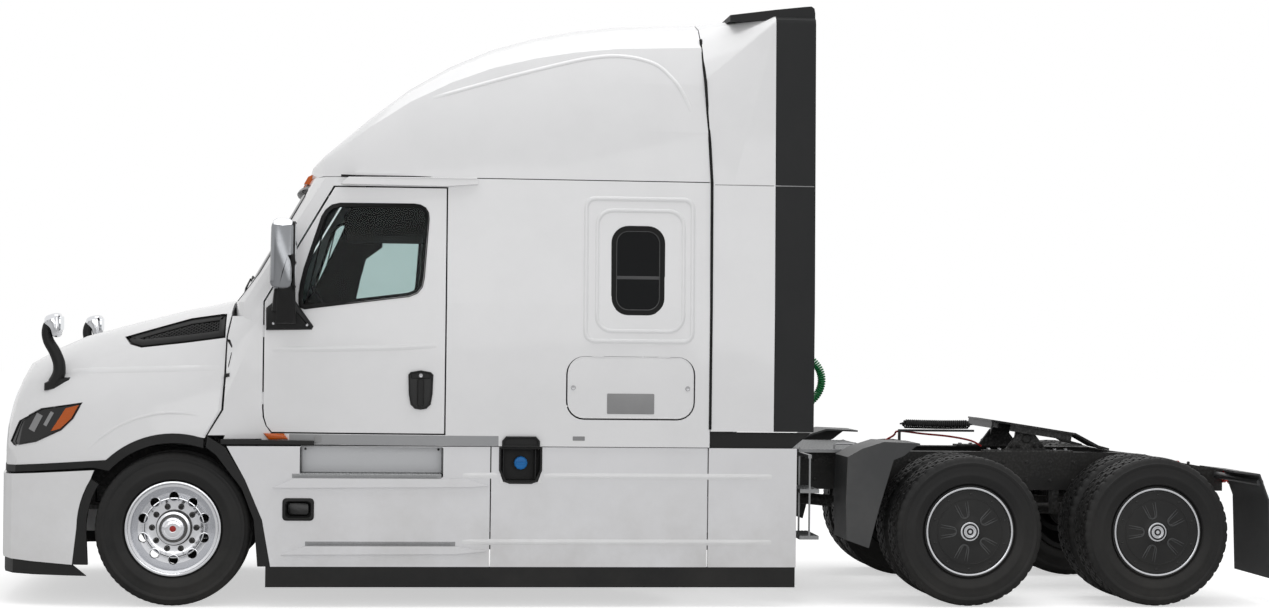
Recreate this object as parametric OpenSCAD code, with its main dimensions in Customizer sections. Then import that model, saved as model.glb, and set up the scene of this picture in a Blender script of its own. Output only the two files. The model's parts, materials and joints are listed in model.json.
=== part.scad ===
// Semi truck tractor unit with a raised-roof sleeper, two drive axles and a fifth wheel.
// Frame: +X forward, +Y to the vehicle's left, +Z up, millimetres, origin on the ground
// under the middle of the overall length. Along the vehicle, places are given as stations:
// the distance behind the front axle, negative ahead of it.

/* [Axles and wheels] */
// Front axle to the middle of the drive axle pair
wheelbase = 5940; // [5900:10:7200]
// Between the two drive axles
tandem_spacing = 1300; // [1250:10:1560]
// Radius of every tyre
tyre_r = 506; // [470:1:620]
// Width of one tyre
tyre_w = 280; // [250:1:300]
// Gap between the two tyres of a twin wheel
twin_gap = 62; // [40:1:75]
// Nominal rim radius, where the tyre's bead sits
rim_r = 286; // [260:1:300]

/* [Overall body] */
// Nose to front axle
front_overhang = 1200; // [1150:10:1440]
// Middle of the drive axles to the back of the mudflaps
rear_overhang = 1460; // [1400:10:1750]
// Width over the sleeper
body_w = 2440; // [2300:10:2930]
// Thickness of the cab's walls and doors
wall = 60; // [40:1:72]
// Height of the roof fairing above the cab body
roof_h = 1125; // [900:5:1350]
// Height of the door bottom above the frame's top
cab_rise = 140; // [120:1:170]

/* [Frame] */
// Height of a frame rail
rail_h = 270; // [240:1:300]
// Width across both rails
frame_w = 860; // [820:1:880]
// Thickness of a rail's web and flanges
rail_t = 10; // [8:1:14]
// Width of a rail's flange
rail_flange = 90; // [75:1:100]
// Axle centre to the underside of the rails
axle_drop = 224; // [215:1:270]

/* [Doors and lids] */
// Gap round every door
door_gap = 10; // [6:1:12]
// Length of the door
door_l = 1180; // [1000:10:1250]
// Height of the door
door_h = 1612; // [1500:2:1640]
// Length of the sleeper behind the door
sleeper_l = 1760; // [1500:10:2110]
// Luggage door length
luggage_l = 840; // [600:5:1000]
// Luggage door height
luggage_h = 400; // [300:5:460]

/* [Fairings] */
// Lower edge of the side fairings above the ground
fairing_low = 265; // [240:5:320]
// Thickness of moulded panels
panel = 25; // [18:1:30]
// Thickness of the hood's skin
hood_skin = 30; // [20:1:36]
// Gap between the tyre and the painted wheel arch
arch_gap = 116; // [100:1:140]
// Width of the black arch trim
arch_trim_w = 62; // [50:1:70]
// Length of the white side extender
extender_l = 424; // [350:2:500]
// Length of the rubber extender flap
flap_l = 268; // [220:2:320]

/* [Fifth wheel] */
// Width of the fifth wheel plate
plate_w = 914; // [800:2:960]
// Radius of the kingpin's lock bore
kingpin_r = 25.6; // [25.5:0.1:26]
// Thickness of the lock block round the kingpin
lock_h = 50; // [40:1:60]
// How far the plate rests tilted back, degrees
plate_rest_tilt = 8.4; // [6:0.1:13]

/* [Hidden] */
$fn = 64;

// ---- sizes worked out from the driving ones ----
overall_l = front_overhang + wheelbase + rear_overhang;
axle_x = overall_l / 2 - front_overhang;
drive_d = [wheelbase - tandem_spacing / 2, wheelbase + tandem_spacing / 2];
hw = body_w / 2;
rail_low = tyre_r + axle_drop;
rail_top = rail_low + rail_h;
cab_z = rail_top + cab_rise;             // door bottom
floor_low = cab_z - 80;
cowl_z = cab_z + 850;                    // windshield base
eave_z = cab_z + 1680;                   // top of the cab body
roof_z = eave_z + roof_h;
door_front = 572;
door_rear = door_front + door_l;
sleeper_rear = door_rear + sleeper_l;
extender_d = sleeper_rear + 6;
flap_d = extender_d + extender_l + 4;
flap_end = flap_d + flap_l;
fairing_top = cab_z - 85;
fairing_end = flap_end - 110;
arch_r = tyre_r + arch_gap;
hood_low = cab_z - 190;                  // hood's lower edge along the side
nose_low = cab_z - 238;                  // hood's lower edge at the nose
bumper_low = fairing_low;
tyre_out = hw - 5;                       // outer sidewall of the widest tyres
front_wheel_y = tyre_out - tyre_w / 2 - 35;
twin_out_y = tyre_out - tyre_w / 2;
twin_in_y = twin_out_y - tyre_w - twin_gap;
kingpin_y = front_wheel_y - tyre_w / 2 - 25;
hinge_x = door_front - door_gap / 2;     // station of the door hinge line
hood_hinge = [-(front_overhang - 25), nose_low - 23];
plate_pivot = [wheelbase, rail_top + 92];
hose_end = wheelbase - 370;
twin_mid = (twin_out_y + twin_in_y) / 2;
drum_r = 120;                            // inside of the drive hubs
hinge_y = 346;
hood_pin_r = 6;
pin_r = 22;                              // kingpin of the steered wheels
hub_bore = 46;                           // wheel bearing on its stub
arm_back = 180;                          // steering arm length

// ---- drawing helpers ----
function sx(d) = axle_x - d;
// heights drawn for a 506 mm tyre move with the axles; widths drawn for a 2440 mm body move with its sides
axle_lift = tyre_r - 506;
side_scale = hw / 1220;
// a point round the front wheel opening, carried with the opening's radius
function arch_fit(p) = [p[0] * arch_r / 622, tyre_r + (p[1] - 506) * arch_r / 622];

// Side-view outline of [station, height] points, drawn between two values of Y
module slab(pts, y0, y1)
    translate([0, y1, 0]) rotate([90, 0, 0])
        linear_extrude(y1 - y0) polygon([for (p = pts) [sx(p[0]), p[1]]]);

// Plan outline of [station, Y] points, drawn between two heights
module plan(pts, z0, z1)
    translate([0, 0, z0]) linear_extrude(z1 - z0) polygon([for (p = pts) [sx(p[0]), p[1]]]);

// Front-view outline of [Y, height] points, drawn between two stations
module across(pts, d0, d1)
    translate([sx(d1), 0, 0]) rotate([90, 0, 90]) linear_extrude(d1 - d0) polygon(pts);

module block(d0, d1, y0, y1, z0, z1)
    translate([sx(d1), y0, z0]) cube([d1 - d0, y1 - y0, z1 - z0]);

module both_sides() { children(); mirror([0, 1, 0]) children(); }

// A cylinder along Y through a station and height
module rod_y(d, z, r, y0, y1)
    translate([sx(d), y1, z]) rotate([90, 0, 0]) cylinder(r = r, h = y1 - y0);

module rod_x(d0, d1, y, z, r)
    translate([sx(d1), y, z]) rotate([0, 90, 0]) cylinder(r = r, h = d1 - d0);

module post(d, y, z0, z1, r) translate([sx(d), y, z0]) cylinder(r = r, h = z1 - z0);

function mirrored(half) = concat(half, [for (i = [len(half) - 1:-1:0]) [half[i][0], -half[i][1]]]);
function mirrored_y(half) = concat(half, [for (i = [len(half) - 1:-1:0]) [-half[i][0], half[i][1]]]);

// Outline of a rectangle with round corners, as [station, height] points
function round_rect(d0, d1, z0, z1, r, n = 6) = [
    for (c = [[d1 - r, z1 - r, 0], [d0 + r, z1 - r, 90], [d0 + r, z0 + r, 180], [d1 - r, z0 + r, 270]])
        for (i = [0:n]) [c[0] + r * cos(c[2] + 90 * i / n), c[1] + r * sin(c[2] + 90 * i / n)]
];

// ---- cab body: one closed shape, hollowed, then split along its real panels ----
cab_low_plan = [[358, 0], [362, hw - 620], [372, hw - 370], [395, hw - 220], [435, hw - 140],
    [490, hw - 108], [562, hw - 98], [1100, hw - 40], [door_rear, hw - 5], [sleeper_rear, hw]];
cab_top_plan = [[825, 0], [832, hw - 820], [852, hw - 460], [895, hw - 235], [960, hw - 130],
    [1060, hw - 95], [1500, hw - 60], [door_rear + 300, hw - 40], [sleeper_rear, hw - 35]];

hood_lift = nose_low - 902;              // the hood follows the cab's height

function inset_plan(pts, off) = [for (i = [0:len(pts) - 1])
    let (rear = pts[i][0] > sleeper_rear - 1)
    [pts[i][0] + (rear ? -off : off * lookup(pts[i][1] / hw, [[0, 1], [0.7, 0.9], [0.93, 0.5], [1, 0]])),
     max(0, pts[i][1] - off * lookup(pts[i][1] / hw, [[0, 0], [0.3, 0.1], [0.8, 0.6], [0.92, 1]]))]];

module cab_block(off) hull() {
    plan(mirrored(inset_plan(cab_low_plan, off)), floor_low + off, cowl_z);
    plan(mirrored(inset_plan(cab_top_plan, off)), eave_z - 1, eave_z + (off > 0 ? 20 : 0));
}
module cab_skin(off0, off1) difference() { cab_block(off0); cab_block(off1); }

door_slant = 449;                        // how far the A-pillar leans back over the window
function door_outline(g) = [[door_front + 56 - g / 2, cab_z - g], [door_front + 22 - 0.8 * g, cab_z + 40], [door_front + 5 - g, cab_z + 95],
    [door_front - g, cab_z + 155], [door_front - g, cowl_z + g / 2],
    [door_front + door_slant - g, cab_z + door_h + g], [door_rear + g, cab_z + door_h + g],
    [door_rear + g, cab_z - g]];
window_outline = [[799, cowl_z - 8], [798, cowl_z + 50], [806, cowl_z + 118], [830, cowl_z + 225], [940, cowl_z + 566], [966, cowl_z + 608],
    [1002, cowl_z + 638], [1056, cowl_z + 651], [door_rear - 212, cowl_z + 652], [door_rear - 172, cowl_z + 646], [door_rear - 140, cowl_z + 628],
    [door_rear - 122, cowl_z + 598], [door_rear - 118, cowl_z + 560], [door_rear - 146, cowl_z + 168], [door_rear - 158, cowl_z + 112],
    [door_rear - 188, cowl_z + 74], [door_rear - 240, cowl_z + 52], [872, cowl_z - 32], [834, cowl_z - 38], [808, cowl_z - 28]];
sleeper_window = round_rect(sleeper_rear - 665, sleeper_rear - 312, cab_z + 795, cab_z + 1382, 112, 8);
// recess for the door handle
handle_outline = [[door_rear - 238, cab_z + 385], [door_rear - 222, cab_z + 402], [door_rear - 156, cab_z + 414], [door_rear - 90, cab_z + 402],
    [door_rear - 74, cab_z + 385], [door_rear - 78, cab_z + 260], [door_rear - 90, cab_z + 190], [door_rear - 118, cab_z + 162],
    [door_rear - 156, cab_z + 156], [door_rear - 194, cab_z + 162], [door_rear - 222, cab_z + 190], [door_rear - 234, cab_z + 260]];
luggage_d = sleeper_rear - 110 - luggage_l;
function luggage_outline(g) = round_rect(luggage_d - g, luggage_d + luggage_l + g,
    cab_z + 108 - g, cab_z + 108 + luggage_h + g, 110 + g);
windshield_outline = mirrored_y([[0, cowl_z + 20], [hw - 330, cowl_z + 20], [hw - 235, cowl_z + 60],
    [hw - 190, cowl_z + 200], [hw - 240, cowl_z + 700], [hw - 300, cowl_z + 745], [0, cowl_z + 760]]);
front_zone = [[300, floor_low], [300, eave_z + 10], [door_front + door_slant - door_gap + 40, eave_z + 10],
    [door_front + door_slant - door_gap, cab_z + door_h + door_gap],
    [door_front - door_gap, cowl_z + door_gap / 2], [door_front - door_gap, floor_low]];

module door_cut() slab(door_outline(door_gap), -hw - 50, hw + 50);

module cab_front() color("white") {
    cab_front_shell();
    both_sides() for (z = door_hinges) door_barrel(z, 1);
    // panels beside the cowl, flush with the hood
    both_sides() intersection() {
        hull() for (s = [[218, 1118, hw - 26], [316, 1283, hw - 38], [330, 1517, hw - 62], [334, 1758, hw - 150], [360, 1895, hw - 225]])
            plan([[218, s[2] - 25], [218, s[2]], [door_front - door_gap, hw - 98], [door_front - door_gap, hw - 125]], s[1] + hood_lift, s[1] + hood_lift + 1);
        slab(concat([arch_fit([218, 1100]), arch_fit([218, 1118]), arch_fit([316, 1283])],
            [for (p = [[330, 1517], [334, 1758], [360, 1900], [600, 1900], [600, 1100]]) [p[0], p[1] + hood_lift]]), 0, hw);
    }
}
module cab_front_shell() difference() {
    intersection() { cab_skin(0, wall); slab(front_zone, -hw - 50, hw + 50); }
    across(windshield_outline, 300, 1050);
    block(300, door_front, -hw, hw, floor_low - 1, floor_low + wall + 10);
}
module cab_floor() color("dimgray")
    difference() {
        intersection() { cab_block(wall + 0.5); block(380, sleeper_rear, -hw, hw, floor_low + wall, floor_low + wall + 40); }
        both_sides() block(door_front - 12, door_rear + 12, hw - 175, hw, floor_low, cab_z + 100);
    }

module cab_side_walls() color("white") {
    cab_side_panels();
    both_sides() for (d = luggage_hinges) luggage_barrel(d, 1);
    // rain ledge over the door
    both_sides() slab([[1058, eave_z - 50], [1100, eave_z - 8], [1955, eave_z - 1], [1955, eave_z - 38], [door_rear, eave_z - 54]],
        hw - 85, hw - 14);
}
module cab_side_panels() difference() {
    cab_skin(0, wall);
    slab(front_zone, -hw - 50, hw + 50);
    door_cut();
    block(sleeper_rear - wall, sleeper_rear + 10, -hw, hw, floor_low - 10, eave_z + 30);
    block(300, sleeper_rear + 10, -hw + 250, hw - 250, floor_low - 10, eave_z + 30);
    for (s = [-1, 1]) {
        slab(sleeper_window, s * hw - 200, s * hw + 200);
        slab(luggage_outline(door_gap), s * hw - 200, s * hw + 200);
    }
}
module cab_back_wall() color("white")
    intersection() { cab_block(0); block(sleeper_rear - wall, sleeper_rear, -hw, hw, floor_low, eave_z); }

module cab_glass() color([0.5, 0.6, 0.6, 0.5]) {
    intersection() { cab_skin(15, 21); across(windshield_outline, 300, 1050); }
    for (s = [-1, 1]) intersection() {
        cab_skin(10, 30);
        slab(sleeper_window, s * hw - 200, s * hw + 200);
    }
}

// ---- raised roof fairing ----
roof_side = [[835, 25], [860, 75], [943, 140], [1106, 275], [1240, 400], [1374, 515], [1509, 615],
    [1780, 780], [2052, 905], [2326, 990], [2600, 1050], [2900, 1090], [3200, 1110]];
roof_half = [[835, hw - 700], [860, hw - 420], [943, hw - 165], [1106, hw - 100], [1374, hw - 75],
    [1780, hw - 50], [2326, hw - 40], [sleeper_rear - 1, hw - 35]];
function roof_rise(d) = lookup(d, concat(roof_side, [[sleeper_rear - 1, 1118]])) * roof_h / 1125;
function roof_section(d, off) = let (w = lookup(d, roof_half) - off, h = max(10, roof_rise(d) - off), z = eave_z + 6)
    mirrored_y([[w, z - (off > 0 ? 20 : 0)], [w - 10, z + 0.3 * h], [w - 0.05 * h - 15, z + 0.6 * h],
    [w - 0.12 * h - 20, z + 0.82 * h], [w - 0.22 * h - 30, z + 0.94 * h], [w - 0.34 * h - 40, z + 0.985 * h], [0, z + h]]);
module roof_block(off) hull()
    for (d = [835, 860, 943, 1106, 1240, 1509, 1780, 2052, 2326, 2600, 2900, sleeper_rear + 20])
        across(roof_section(min(d + off * 1.2, sleeper_rear + 20), off), min(d + off * 1.2, sleeper_rear + 20),
            min(d + off * 1.2, sleeper_rear + 20) + 1);
// the joint between the roof and the extenders leans forward
rear_lean = 68;
function roof_cut(off) = [[700, eave_z - 20], [sleeper_rear - 1 - off, eave_z - 20], [sleeper_rear - 1 - off, eave_z],
    [sleeper_rear - 1 - off - rear_lean, roof_z], [700, roof_z]];
module roof_fairing() color("white") {
    difference() {
        intersection() { roof_block(0); slab(roof_cut(0), -hw, hw); }
        intersection() { roof_block(wall / 1.5); slab(roof_cut(wall / 1.5), -hw, hw); }
    }
    // feet along the cab's top edge
    both_sides() block(1150, sleeper_rear - 60, hw - 112, hw - 72, eave_z, eave_z + 30);
}

// ---- extenders behind the sleeper: they start with the roof's section and end square ----
function roof_end(off) = mirrored_y(concat([[hw - off, cab_z + 27], [hw - off, cowl_z], [hw - 35 - off, eave_z]],
    [for (p = roof_section(sleeper_rear - 1, 0)) if (p[0] > 0) [p[0] - off, p[1] - (p[1] > eave_z + 900 ? off : off / 3)]],
    [[0, eave_z + 1119 * roof_h / 1125 - off]]));
function square_end(off, z) = mirrored_y([[hw - off, cab_z + 27], [hw - off, cowl_z], [hw - 35 - off, eave_z], [hw - 62 - off, z - 60],
    [hw - 70 - off, z - 30 - off / 2], [hw - 95 - off, z - 8 - off], [hw - 150 - off, z - off], [0, z + 12 - off]]);
square_z = roof_z + 12;
module extender_block(off) intersection() {
    hull() {
        across(roof_end(off), extender_d - rear_lean, extender_d - rear_lean + 1);
        across(square_end(off, square_z), flap_d - 5, flap_d - 4);
    }
    slab([[extender_d, cab_z + 20], [extender_d, eave_z], [extender_d - rear_lean, roof_z], [extender_d - rear_lean, roof_z + 100],
        [flap_end, roof_z + 100], [flap_end, cab_z + 20]], -hw, hw);
}
module extender_inside(off) hull() {
    across([for (p = roof_end(off)) [p[0], p[1] - (p[1] < cab_z + 30 ? 10 : 0)]], extender_d - rear_lean - 5, extender_d - rear_lean - 4);
    across([for (p = square_end(off, square_z)) [p[0], p[1] - (p[1] < cab_z + 30 ? 10 : 0)]], flap_d + 5, flap_d + 6);
}
module side_extenders() color("white") {
    difference() {
        extender_block(0);
        extender_inside(panel);
    }
    // brackets that hold the panels on the back wall
    both_sides() for (z = [cab_z + 300, cowl_z - 80])
        block(sleeper_rear, extender_d + 80, hw - panel - 60, hw - panel + 5, z, z + 60);
}
module extender_flaps() color([0.16, 0.16, 0.17]) {
    difference() {
        hull() {
            across(square_end(5, square_z + 3), flap_d, flap_d + 1);
            across(square_end(5, square_z + 3), flap_end - 1, flap_end);
        }
        across([for (p = square_end(panel + 12, square_z + 3)) [p[0], p[1] - (p[1] < cab_z + 30 ? 10 : 0)]], flap_d - 5, flap_end + 5);
    }
    // lap that the flaps hang from, inside the white panels
    intersection() {
        difference() { extender_inside(panel + 0.4); extender_inside(panel + 12.4); }
        block(flap_d - 60, flap_d + 1, -hw, hw, cab_z + 30, roof_z + 100);
    }
    // cap along the top edge
    difference() {
        slab([[extender_d + 118, roof_z - 30], [extender_d + 118, roof_z + 8], [flap_d, roof_z + 52], [flap_end - 70, roof_z + 76],
            [flap_end - 26, roof_z + 80], [flap_end - 6, roof_z + 66], [flap_end, roof_z + 34], [flap_end, roof_z - 22], [flap_d, roof_z - 22]],
            -hw + 100, hw - 100);
        hull() {
            across([for (p = square_end(panel + 12, square_z)) [p[0], p[1] - (p[1] < cab_z + 30 ? 10 : 0)]], flap_d - 320, flap_d - 319);
            across([for (p = square_end(panel + 12, square_z)) [p[0], p[1] - (p[1] < cab_z + 30 ? 10 : 0)]], flap_end + 5, flap_end + 6);
        }
        extender_block(-0.3);
    }
}

// ---- doors, glass and mirrors ----
module door_half() difference() {
    intersection() { cab_skin(0, wall); slab(door_outline(0), hw - 400, hw + 50); }
    slab(window_outline, hw - 400, hw + 50);
    slab(handle_outline, hw - 38, hw + 50);
}
module door_glass_half() intersection() { cab_skin(20, 26); slab(window_outline, hw - 400, hw + 50); }
module door_with_hinges() { door_half(); for (z = door_hinges) door_barrel(z + 40.3, -1); }
module door_left() color("white") door_with_hinges();
module door_right() color("white") mirror([0, 1, 0]) door_with_hinges();
module door_glass_left() color([0.5, 0.6, 0.6, 0.5]) door_glass_half();
module door_glass_right() color([0.5, 0.6, 0.6, 0.5]) mirror([0, 1, 0]) door_glass_half();

mirror_y = hw + 25;
module side_mirror_half() difference() {
    side_mirror_shape();
    cab_block(0);
}
module side_mirror_shape() {
    // foot on the door's front corner
    slab([[door_front + 8, cowl_z - 190], [door_front + 8, cowl_z - 40], [door_front + 120, cowl_z + 80],
        [door_front + 190, cowl_z + 60], [door_front + 330, cowl_z - 165]], hw - 82, hw - 40);
    slab([[door_front + 40, cowl_z - 60], [door_front + 60, cowl_z + 300], [door_front + 120, cowl_z + 300],
        [door_front + 150, cowl_z - 60]], hw - 45, mirror_y + 10);
    // head
    slab(round_rect(door_front + 46, door_front + 210, cowl_z + 75, cowl_z + 535, 60), mirror_y, mirror_y + 245);
}
module side_mirror_left() color("silver") side_mirror_half();
module side_mirror_right() color("silver") mirror([0, 1, 0]) side_mirror_half();

module luggage_half() {
    intersection() { cab_skin(0, wall); slab(luggage_outline(0), hw - 400, hw + 50); }
    for (d = luggage_hinges) luggage_barrel(d + 40.3, -1);
}
module luggage_door_left() color("white") luggage_half();
module luggage_door_right() color("white") mirror([0, 1, 0]) luggage_half();

// ---- hinge barrels in the gaps: one length on the body, the next on the door ----
barrel_r = 4.5;
door_hinges = [cab_z + 180, cab_z + 620];
module door_barrel(z, side) {
    post(hinge_x, hw - 100.5, z, z + 40, barrel_r);
    if (side > 0) block(hinge_x - 12, hinge_x, hw - 112, hw - 103, z, z + 40);
    else block(hinge_x, hinge_x + 12, hw - 112, hw - 103, z, z + 40);
}
luggage_top = cab_z + 108 + luggage_h + door_gap / 2;
luggage_hinges = [luggage_d + 160, luggage_d + luggage_l - 240];
module luggage_barrel(d, side) {
    rod_x(d, d + 40, hw - 4, luggage_top, barrel_r);
    block(d, d + 40, hw - 16, hw - 7, side > 0 ? luggage_top : luggage_top - 12, side > 0 ? luggage_top + 12 : luggage_top);
}

// ---- hood: one smooth outer shape through horizontal outlines ----
hood_slices = [
    [850, [[-1188, 0], [-1178, 450], [-1150, 700], [-1113, 870], [-1040, 980], [-900, 1058], [-700, 1112], [-441, 1155], [-200, 1185], [0, 1197], [400, 1205]]],
    [1000, [[-1186, 0], [-1176, 450], [-1147, 700], [-1108, 870], [-1032, 980], [-890, 1054], [-690, 1110], [-430, 1154], [-200, 1185], [0, 1197], [400, 1205]]],
    [1150, [[-1176, 0], [-1165, 450], [-1133, 700], [-1092, 865], [-1008, 975], [-850, 1046], [-630, 1102], [-380, 1146], [0, 1192], [400, 1202]]],
    [1300, [[-1150, 0], [-1138, 450], [-1103, 690], [-1056, 845], [-960, 955], [-780, 1030], [-500, 1098], [0, 1178], [400, 1190]]],
    [1450, [[-1106, 0], [-1090, 440], [-1048, 660], [-985, 800], [-862, 905], [-650, 988], [-300, 1078], [0, 1138], [400, 1168]]],
    [1560, [[-1050, 0], [-1030, 430], [-975, 620], [-890, 740], [-740, 845], [-480, 950], [-200, 1040], [0, 1090], [400, 1140]]],
    [1660, [[-890, 0], [-862, 430], [-780, 600], [-650, 735], [-450, 860], [-200, 970], [0, 1038], [400, 1100]]],
    [1750, [[-700, 0], [-662, 430], [-570, 610], [-420, 760], [-200, 890], [0, 978], [400, 1062]]],
    [1850, [[-360, 0], [-305, 430], [-210, 620], [-70, 780], [100, 890], [400, 1015]]],
    [1930, [[-60, 0], [0, 430], [90, 600], [210, 760], [400, 930]]],
    [1990, [[220, 0], [285, 430], [340, 560], [400, 700]]],
    [2022, [[390, 0], [400, 250]]]
];
module hood_block(off) hull() for (s = hood_slices)
    plan(mirrored([for (p = s[1]) [p[0] + (p[0] > 399 ? 0 : off), max(0, p[1] * side_scale - off)]]),
        s[0] + hood_lift - (s[0] > 1100 ? off : (s[0] > 900 ? 0 : 2 * off)),
        s[0] + hood_lift - (s[0] > 1100 ? off : (s[0] > 900 ? 0 : 2 * off)) + 1);

// Side view of the hood: lower edge, wheel arch, rear edge
// points along the wheel opening, by angle from straight ahead
function arch_arc(r, a0, a1, n = 14) = [for (i = [0:n])
    let (a = a0 + (a1 - a0) * i / n) [-r * cos(a), tyre_r + r * sin(a)]];
hood_outline = concat([[-1400, nose_low], [-1092, nose_low], [-arch_r * cos(45), hood_low]],
    arch_arc(arch_r, 46, 106), [arch_fit([200, 1100]), arch_fit([204, 1112]), arch_fit([302, 1283])],
    [for (p = [[316, 1517], [320, 1758], [345, 1905], [345, 2200], [-1400, 2200]]) [p[0], p[1] + hood_lift]]);
lamp_outline = [[-1090, 1056], [-1028, 1192], [-875, 1274], [-607, 1316], [-660, 1215], [-735, 1140], [-900, 1062], [-1060, 1030]];
grille_outline = mirrored_y([[0, 930], [520, 930], [600, 980], [640, 1180], [560, 1330], [420, 1380], [0, 1390]]);
function vent_outline(g) = [for (p = [[-367 + g, 1750], [-180, 1806 - g * 0.9], [74, 1880 - g], [282, 1910 - g], [314 - g, 1911 - g], [314 - g, 1752 + g], [60, 1716 + g], [-244 + g, 1680 + g], [-321 + g, 1700 + g]]) [p[0], p[1] + hood_lift]];
module lamp_zone(g) slab([for (p = lamp_outline) [p[0], p[1] + hood_lift]], 600 - g, hw + 10);

module hood_shell() color("white") difference() {
    intersection() {
        difference() { hood_block(0); hood_block(hood_skin); }
        slab(hood_outline, -hw - 20, hw + 20);
    }
    both_sides() lamp_zone(0);
    both_sides() slab(vent_outline(0), 480, hw);
    across([for (p = grille_outline) [p[0], p[1] + hood_lift]], -1400, -900);
}
module headlights() color([0.8, 0.85, 0.9, 0.6]) both_sides() difference() {
    intersection() { hood_block(6); lamp_zone(0); }
    hood_block(20);
}
module grille() color([0.1, 0.1, 0.1]) intersection() {
    difference() { hood_block(6); hood_block(hood_skin + 20); }
    across([for (p = grille_outline) [p[0], p[1] + hood_lift]], -1400, -900);
}
// Strip under the lamps and trim round the wheel opening, as one band
module hood_trim() color([0.12, 0.12, 0.12]) {
    hood_strip();
    both_sides() difference() {
        intersection() { hood_block(15); slab(vent_outline(0.3), 480, hw); }
        hood_block(20);
    }
}
module hood_strip() difference() {
    intersection() {
        difference() { hood_block(-2); hood_block(hood_skin - 2); }
        slab(concat([[-1400, nose_low - 46], [-1400, nose_low - 0.3], [-1092, nose_low - 0.3], [-arch_r * cos(45), hood_low - 0.3]],
            arch_arc(arch_r - 0.3, 46, 106), [[192, hood_low + 148], [192, hood_low + 85]],
            [for (i = [14:-1:0]) arch_arc(arch_r - arch_trim_w, 42, 106)[i]],
            [[-520, hood_low - 50], [-1092, nose_low - 46]]), -hw - 20, hw + 20);
    }
    both_sides() {
        block(-1300, -1140, hinge_y - 5, hinge_y + 19, nose_low - 60, nose_low - 0.2);
        rod_y(hood_hinge[0], hood_hinge[1], hood_pin_r + 0.05, hinge_y - 20, hinge_y + 1);
    }
}
module hood_mirrors() color([0.1, 0.1, 0.1]) difference() {
    hood_mirror_shapes();
    hood_block(0);
}
module hood_mirror_shapes() both_sides() {
    slab([[-868, 1425], [-752, 1470], [-734, 1561], [-800, 1712], [-833, 1744], [-780, 1800], [-749, 1759], [-690, 1640], [-700, 1450]],
        hw - 300, hw - 262);
    slab([[-911, 1789], [-886, 1875], [-758, 1903], [-746, 1830], [-749, 1759]], hw - 330, hw - 150);
    slab([[-868, 1380], [-868, 1440], [-700, 1480], [-700, 1400]], hw - 330, hw - 262);
}

// ---- bumper and black lower trim ----
bumper_plan = [[-front_overhang, 0], [-1192, 450], [-1165, 700], [-1130, 870], [-1062, 985], [-920, 1066], [-700, 1122], [-560, 1146], [-400, 1165]];
module bumper_wrap(off0, off1, z0, z1, plan_pts = bumper_plan) difference() {
    plan(mirrored([for (p = plan_pts) [p[0] + (p[0] > -401 ? 0 : off0), max(0, p[1] * side_scale - off0)]]), z0, z1);
    plan(mirrored([for (p = plan_pts) [p[0] + (p[0] > -401 ? 10 : off1), max(0, p[1] * side_scale - off1)]]), z0 - 5, z1 + 5);
}
bumper_top = nose_low - 57;
bumper_side = concat([[-1400, bumper_top], [-1092, bumper_top]],
    [[-512, bumper_top + 38]], arch_arc(arch_r, 31, 0, 6), [[-648, 268], [-1000, 290], [-1400, 312]]);
module front_bumper() color("white") difference() {
    intersection() { bumper_wrap(0, panel, 200, 900); slab(bumper_side, -hw, hw); }
    across(mirrored_y([[0, 420], [560, 420], [640, 560], [600, 700], [0, 700]]), -1400, -900);
}
module lower_trim() color([0.14, 0.14, 0.15]) {
    // bumper lip
    intersection() { bumper_wrap(12, panel, 190, 320);
        slab([[-1400, 200], [-1400, 312], [-1000, 290], [-648, 268], [-554, 195]], -hw, hw); }
    // intake behind the bumper opening
    across(mirrored_y([[0, 400], [600, 400], [650, 560], [640, 718], [0, 718]]), -1142, -1128);
    // edge of the bumper's wheel opening
    both_sides() intersection() {
        plan([[-560, 1100], [-700, 1090], [-700, 1122], [-400, 1160], [-400, 1120]], 200, 900);
        slab(concat(arch_arc(arch_r, 31, 0, 6), [[-648, 268], [-548, 268]],
            [for (i = [6:-1:0]) arch_arc(arch_r - arch_trim_w, 31, 0, 6)[i]]), hw - 200, hw);
    }
    // rear half of the wheel opening, in front of the side fairing
    both_sides() slab([arch_fit([216, 1112]), arch_fit([332, 1040]), arch_fit([461, 829]), arch_fit([573, 569]), [629 * arch_r / 622, fairing_low],
        [548 * arch_r / 622, fairing_low], arch_fit([522, 569]), arch_fit([444, 771]), arch_fit([273, 991]), arch_fit([208, 1040])], hw - 60, hw - 20);
    // rubber skirt under the fairings
    both_sides() block(600, fairing_end - 4, hw - 34, hw - 22, 130, fairing_low);
    // black panels between the rear side fairings and the extenders
    both_sides() slab([[sleeper_rear + 14, fairing_top - 25], [sleeper_rear + 14, cab_z + 20], [flap_end - 14, cab_z + 20], [fairing_end - 60, fairing_top - 25]],
        hw - 75, hw - 15.3 - panel);
    // pockets behind the filler and the lamp
    both_sides() {
        pocket(2128, 2389, 824, 1046);
        pocket(717, 900, 576, 701);
    }
}
module pocket(d0, d1, z0, z1) difference() {
    block(d0 - 12, d1 + 12, hw - 130, hw - 15 - panel, z0 - 12, z1 + 12);
    block(d0, d1, hw - 118, hw, z0, z1);
}

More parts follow.
